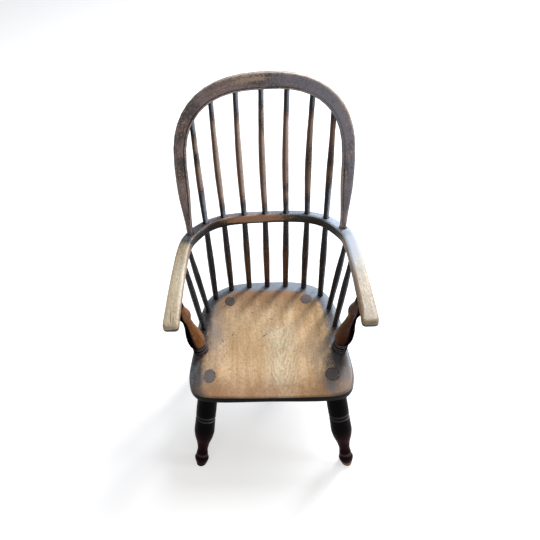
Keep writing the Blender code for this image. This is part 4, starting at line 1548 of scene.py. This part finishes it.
@dataclass
class BackHoop:
    """The bent hoop, flat on its face, with a line scribed near its inner edge.

    Attributes:
        finish: Its wood.
        voxel: Size of its mesh faces.
        passes: Smoothing passes.
        scribe_in: How far the scribed line is from the inner edge.
        scribe_wide: The line's half-width.
        scribe_deep: The line's depth.
        bend: The share of its height at which the point is that it bends round.
        patch_half: Half the height of a worn patch.
        patches: Worn patches: share of the half-length from the middle and half-width in it, distance from the
            inner edge in metres, and how worn.
    """

    finish: WoodFinish
    voxel: float = 0.0011
    passes: int = 10
    scribe_in: float = 0.0050
    scribe_wide: float = 0.0013
    scribe_deep: float = 0.0010
    bend: float = 0.46
    patch_half: float = 0.008
    patches: tuple[tuple[float, float, float, float], ...] = (
        (-0.01, 0.05, 0.022, 0.85), (-0.09, 0.06, 0.020, 0.62), (-0.20, 0.05, 0.016, 0.40),
        (-0.42, 0.05, 0.018, 0.42), (-0.78, 0.05, 0.010, 0.45), (-0.66, 0.05, 0.015, 0.46),
        (-0.55, 0.10, 0.012, 0.36), (0.70, 0.06, 0.006, 0.52), (0.60, 0.04, 0.014, 0.48),
        (0.50, 0.08, 0.018, 0.34), (0.38, 0.08, 0.020, 0.24), (0.12, 0.07, 0.005, 0.30))

    def build(self, cad: Cad) -> None:
        """Builds, dresses and hands over the hoop.

        Args:
            cad: The frame.
        """
        hoop = fine_copy(cad, "back_hoop", "bent_hoop", self.voxel, self.passes)
        hoop.data.materials.append(self.finish.build())
        points = cad.points("back_hoop")
        facing = np.linalg.svd(points - points.mean(0), full_matrices=False)[2][2]
        facing = facing * -np.sign(facing[1])
        self.dress(hoop, facing)
        hand_over(hoop, Slot.HOOP, "back_hoop")

    def dress(self, hoop: bpy.types.Object, facing: np.ndarray) -> None:
        """Scribes the line and paints the grain along the bend, worn patches, worn edges with painted highlight
        along the outer one, and painted sheen.

        Args:
            hoop: The hoop.
            facing: The direction that its face looks in.
        """
        mesh = hoop.data
        points = coordinates(mesh)
        right = np.array([1.0, 0.0, 0.0])
        up = np.cross(facing, right)
        up = up * np.sign(up[2])
        reach = points @ up
        middle = points.mean(0)
        origin = middle + up * (reach.min() + self.bend * (reach.max() - reach.min()) - middle @ up)
        origin[0] = 0.0
        path = Path(origin, right, up)
        path.follow(points)
        depth = (points - middle) @ facing

        # The scribed line, which runs out towards the feet.
        front = smooth_step(0.35, 0.75, normals(mesh) @ facing)
        line = bell(path.from_inner, self.scribe_in, self.scribe_wide) * front
        foot = smooth_step(1.0, 0.82, np.abs(path.along) / path.length)
        line *= foot
        place(mesh, points - np.outer(line * self.scribe_deep, facing))
        paint(mesh, "grain", np.column_stack([path.across, depth, path.along]))

        # Stain, dust on it with painted sheen that is strongest right of the middle, worn patches on the face,
        # and wood rubbed bare along the edges and low inside, the outer edge also painted as a highlight that
        # is brightest right of the top.
        look = normals(mesh) @ facing
        share = path.along / path.length
        paint(mesh, "stain", 0.90 + 0.7 * line + 0.5 * smooth_step(0.2, -0.5, look))
        outer = bell(path.from_outer, 0.0005, 0.0040) * smooth_step(-0.3, 0.5, look)
        bead = bell(path.from_inner, 0.002, 0.002) * front * foot
        inner = smooth_step(0.012, 0.0, path.from_inner) * front
        worn = front * sum(much * bell(share, at, wide) * bell(path.from_inner, inset, self.patch_half)
                           for at, wide, inset, much in self.patches)
        paint(mesh, "dust_and_sheen", np.clip(0.24 + 0.72 * bell(share, 0.44, 0.38) - 0.6 * worn, 0, 0.95) * front)
        low = smooth_step(0.62, 0.92, np.abs(share)) * inner
        crown = bell(share, 0.18, 0.34)
        paint(mesh, "rub", (0.28 + 0.48 * crown) * outer + 0.66 * worn + 0.40 * bead + 0.42 * low - 0.5 * line)
        bare = (0.16 + 0.79 * crown) * outer + 0.35 * low * (share > 0) + 0.18 * worn + 0.3 * bead
        paint(mesh, "bleach_and_highlight", np.clip(bare, 0, 1))


@dataclass(frozen=True)
class Lamp:
    """An area light.

    Attributes:
        name: Its name.
        at: Where it hangs.
        size: Its width and its height.
        watts: Its power.
        colour: Its colour.
    """

    name: str
    at: tuple[float, float, float]
    size: tuple[float, float]
    watts: float
    colour: str

    def hang(self, target: Vector) -> None:
        """Hangs the light, facing a point.

        Args:
            target: The point.
        """
        data = bpy.data.lights.new(self.name, "AREA")
        data.shape = "RECTANGLE"
        data.size, data.size_y = self.size
        data.energy = self.watts
        data.color = linear(self.colour)[:3]
        thing = bpy.data.objects.new(self.name, data)
        thing.location = self.at
        thing.rotation_euler = (target - Vector(self.at)).to_track_quat("-Z", "Y").to_euler()
        bpy.context.scene.collection.objects.link(thing)


@dataclass
class Studio:
    """The floor, the light and the camera.

    Attributes:
        eye: The camera's place.
        yaw: Its turn about the vertical, in degrees.
        pitch: How far it looks down, in degrees.
        roll: Its lean, in degrees.
        lens: Its focal length, in millimetres.
        sensor: Its sensor's width, in millimetres.
        shift: The picture's shift, as the photograph is cropped.
        ambient: Strength of the light from all round.
        floor_half: Half the floor's width.
        floor_glow: How far the floor shows lighter than the light on it, so that it shows as white.
        target: The point that the lights face.
        lamps: The lights.
    """

    eye: tuple[float, float, float] = (-0.00312, -1.04845, 1.34955)
    yaw: float = 9.33
    pitch: float = 43.55
    roll: float = -8.34
    lens: float = 46.67
    sensor: float = 36.0
    shift: tuple[float, float] = (0.1608, 0.0335)
    ambient: float = 0.18
    floor_half: float = 8.0
    floor_glow: float = 0.55
    target: tuple[float, float, float] = (0.0, 0.0, 0.3)
    lamps: tuple[Lamp, ...] = (
        Lamp("window", (0.92, 1.34, 1.90), (0.42, 2.0), 66.0, "#FBFAFF"),
        Lamp("sky", (0.42, 1.95, 1.80), (0.7, 0.7), 13.0, "#C8DCFF"),
        Lamp("side_window", (2.00, -0.20, 0.60), (0.6, 0.9), 17.0, "#F4F6FF"),
        Lamp("front_fill", (-0.7, -1.7, 2.3), (1.6, 1.6), 8.0, "#FFF4E4"))

    def build(self) -> None:
        """Sets up the floor, the world, the lights and the camera."""
        scene = bpy.context.scene
        scene.view_settings.view_transform = "Standard"
        self.lay_floor()
        self.light_world()
        for lamp in self.lamps:
            lamp.hang(Vector(self.target))
        data = bpy.data.cameras.new("camera")
        data.lens = self.lens
        data.sensor_width = self.sensor
        data.shift_x, data.shift_y = self.shift
        camera = bpy.data.objects.new("camera", data)
        pose = Matrix.Translation(self.eye)
        for degrees, axis in ((self.yaw, "Z"), (90 - self.pitch, "X"), (self.roll, "Z")):
            pose = pose @ Matrix.Rotation(math.radians(degrees), 4, axis)
        camera.matrix_world = pose
        scene.collection.objects.link(camera)
        scene.camera = camera

    def seen_white(self, tree: bpy.types.NodeTree) -> bpy.types.NodeSocket:
        """Tells the rays that show a surface from those that light the chair.

        Args:
            tree: The tree that the nodes go in.

        Returns:
            1 for rays from the camera and for those that show in gloss or through glass.
        """
        path = add(tree, "ShaderNodeLightPath").outputs
        seen = path["Is Camera Ray"]
        for kind in ("Is Glossy Ray", "Is Transmission Ray"):
            seen = add(tree, "ShaderNodeMath", {0: seen, 1: path[kind]}, operation="MAXIMUM").outputs[0]
        return seen

    def lay_floor(self) -> None:
        """Lays a plain pale floor that keeps the chair's shadow."""
        mesh = bpy.data.meshes.new("floor")
        half = self.floor_half
        corners = [(-half, -half, 0), (half, -half, 0), (half, half, 0), (-half, half, 0)]
        mesh.from_pydata(corners, [], [(0, 1, 2, 3)])
        floor = new_object("floor", mesh)
        material = bpy.data.materials.new("pale painted floor")
        material.use_nodes = True
        tree = material.node_tree
        tree.nodes.clear()
        matt = add(tree, "ShaderNodeBsdfDiffuse", {"Color": linear("#E6E6E4")})
        glow = add(tree, "ShaderNodeMath", {0: self.seen_white(tree), 1: self.floor_glow}, operation="MULTIPLY")
        white = add(tree, "ShaderNodeEmission", {"Color": linear("#FFFFFF"), "Strength": glow.outputs[0]})
        both = add(tree, "ShaderNodeAddShader", {0: matt.outputs[0], 1: white.outputs[0]})
        add(tree, "ShaderNodeOutputMaterial", {"Surface": both.outputs[0]})
        mesh.materials.append(material)

    def light_world(self) -> None:
        """Lights the world evenly, and shows it white."""
        world = bpy.data.worlds.new("studio")
        bpy.context.scene.world = world
        world.use_nodes = True
        tree = world.node_tree
        tree.nodes.clear()
        level = add(tree, "ShaderNodeMapRange", {0: self.seen_white(tree), 3: self.ambient, 4: 1.0})
        sky = add(tree, "ShaderNodeBackground", {"Color": linear("#FFFFFF"), "Strength": level.outputs[0]})
        add(tree, "ShaderNodeOutputWorld", {"Surface": sky.outputs[0]})


# Elm: a coarse ring-porous wood, which gives soft arches, open dark pores and a honey colour under old wax.
# Its bluish grey dust colour also carries painted sheen.
ELM = WoodFinish(
    "elm, waxed and worn", pale="#EFCE9C", mid="#D8AD74", dark="#6E4A2A", deep="#101112", thin="#4A5056",
    worn="#8A5C3C", soil="#8C6032", end="#5A5350", bleached_and_highlight="#F0E2BE", dust_and_sheen="#7C878E", haze_and_sheen="#A08C7A",
    streak_mm=(13.0, 130.0), pore_mm=(1.3, 4.6), grit_mm=(2.3, 3.2), patch_mm=16.0, rag=0.40, speckle=0.42,
    flake=0.4, fleck=0.5, rough=(0.55, 0.36), figure=Figure.CATHEDRAL, marks=(
        Mark((-79.3, 8.8, -7.5), (5.5, 1.2, 8.0), 50.0),
        Mark((-11.0, 3.6, -7.5), (5.0, 1.5, 8.0), 40.0),
        Mark((-6.0, 7.9, -7.5), (4.0, 0.9, 8.0), -20.0),
        Mark((-101.1, -11.2, -7.5), (5.5, 1.2, 8.0), -60.0),
        Mark((-36.7, 74.8, -7.5), (1.9, 1.9, 8.0)),
        Mark((-33.0, -93.1, -7.5), (1.7, 1.7, 8.0)),
        Mark((108.0, -136.1, -3.5), (1.0, 1.0, 8.0)),
        Mark((5.0, 53.9, -7.5), (6.0, 0.9, 8.0), -30.0)))
# Ash: straight long grain with open pores, which bleaches to cream where hands have taken the finish off.
# Its bluish colours for dust and for the film on bare wood carry painted sheen, and its cream also paints a
# highlight.
BARE_ASH = WoodFinish(
    "ash, bleached and part stained", pale="#DCD0AC", mid="#C6B48C", dark="#5E4A30", deep="#101013",
    thin="#3A3B3E", worn="#B88E72", soil="#8A6844", bleached_and_highlight="#F0E6D0", dust_and_sheen="#B6C0CC", haze_and_sheen="#A4AEB8",
    streak_mm=(1.8, 60.0), pore_mm=(1.1, 7.0), patch_mm=18.0, rag=0.24, speckle=0.40, fleck=0.2,
    rough=(0.46, 0.32), marks=(
        Mark((166.8, -109.4, 0.1), (7.0, 1.0, 6.0)),
        Mark((-184.5, -144.8, 0.1), (0.75, 22.0, 6.0), 2.0),
        Mark((-179.0, -154.8, 0.1), (0.65, 14.0, 6.0), 1.0),
        Mark((34.5, 160.2, -7.4), (0.6, 10.0, 9.0))))
# Stained ash: the same grain under a dark brown stain, thin enough to show lighter wood where it is rubbed.
# Its colour for dust also carries painted sheen, and its pale colour a painted highlight on the outer edge.
STAINED_ASH = WoodFinish(
    "ash, dark stained", pale="#A89A86", mid="#6E5844", dark="#2A211C", deep="#3E3532", thin="#8E7872",
    worn="#B89C88", bleached_and_highlight="#D2C8B6", dust_and_sheen="#8E8C98", streak_mm=(2.0, 60.0), grit_mm=(2.3, 4.2),
    patch_mm=26.0, rag=0.2, flake=0.55, fleck=0.45, rough=(0.5, 0.40))
# Shaved ash sticks: nearly black stain, rubbed to a warm brown in the middle. Its pale and bluish grey
# colours also paint highlight and sheen on the sides that face right.
STICK_ASH = WoodFinish(
    "ash sticks, black stained", pale="#9A7A5C", mid="#7A5A40", dark="#241C1A", deep="#121118", thin="#2A2026",
    worn="#6A4834", bleached_and_highlight="#F0DCCC", dust_and_sheen="#A0A8B4", streak_mm=(1.4, 30.0), patch_mm=18.0, rag=0.3,
    flake=0.12, fleck=0.1, rough=(0.5, 0.36), shine=0.4, dull=0.18)
# Beech posts: fine even grain that takes an orange-brown polish. Its grey worn colour and its pale colour
# paint highlights with wear on the base's discs.
POST_BEECH = WoodFinish(
    "beech posts, stained and polished", pale="#AC7038", mid="#7E4A24", dark="#3A2010", deep="#080506",
    thin="#3C1A12", worn="#545050", soil="#421C12", bleached_and_highlight="#B4ACAC", streak_mm=(2.0, 40.0),
    pore_mm=(0.8, 5.0), patch_mm=14.0, rag=0.35, fleck=0.1, rough=(0.24, 0.34), shine=0.28, dull=0.0,
    dry=(0.3, 0.9))
# Ebonised beech: black under wax, with dark red wood just showing low on the vase. Its grey pale colour
# paints the highlights on the rings and the foot's shoulder.
LEG_BEECH = WoodFinish(
    "beech legs, ebonised", pale="#A88C68", mid="#7A6044", dark="#0A0808", deep="#060506", thin="#0C090A",
    worn="#280709", end="#807873", bleached_and_highlight="#8E8E92", streak_mm=(2.0, 40.0), pore_mm=(0.8, 5.0), patch_mm=16.0,
    rag=0.3, fleck=0.06, rough=(0.42, 0.36), shine=0.07, dull=0.03)


def main() -> None:
    """Builds the chair's pieces round the frame, and the studio."""
    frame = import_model()
    cad = Cad(frame["nodes"], frame["record"])
    Studio().build()
    lathe = TurningTree()
    seat = Seat(ELM)
    seat.measure(cad)
    seat.build()
    seat.dress()
    Legs(LEG_BEECH).build(cad, lathe, seat)
    ArmPosts(POST_BEECH).build(cad, lathe)
    Sticks(STICK_ASH).build(cad, lathe)
    ArmBow(BARE_ASH).build(cad)
    BackHoop(STAINED_ASH).build(cad)


if __name__ == "__main__":
    logging.basicConfig(level=logging.INFO, format="%(message)s")
    main()
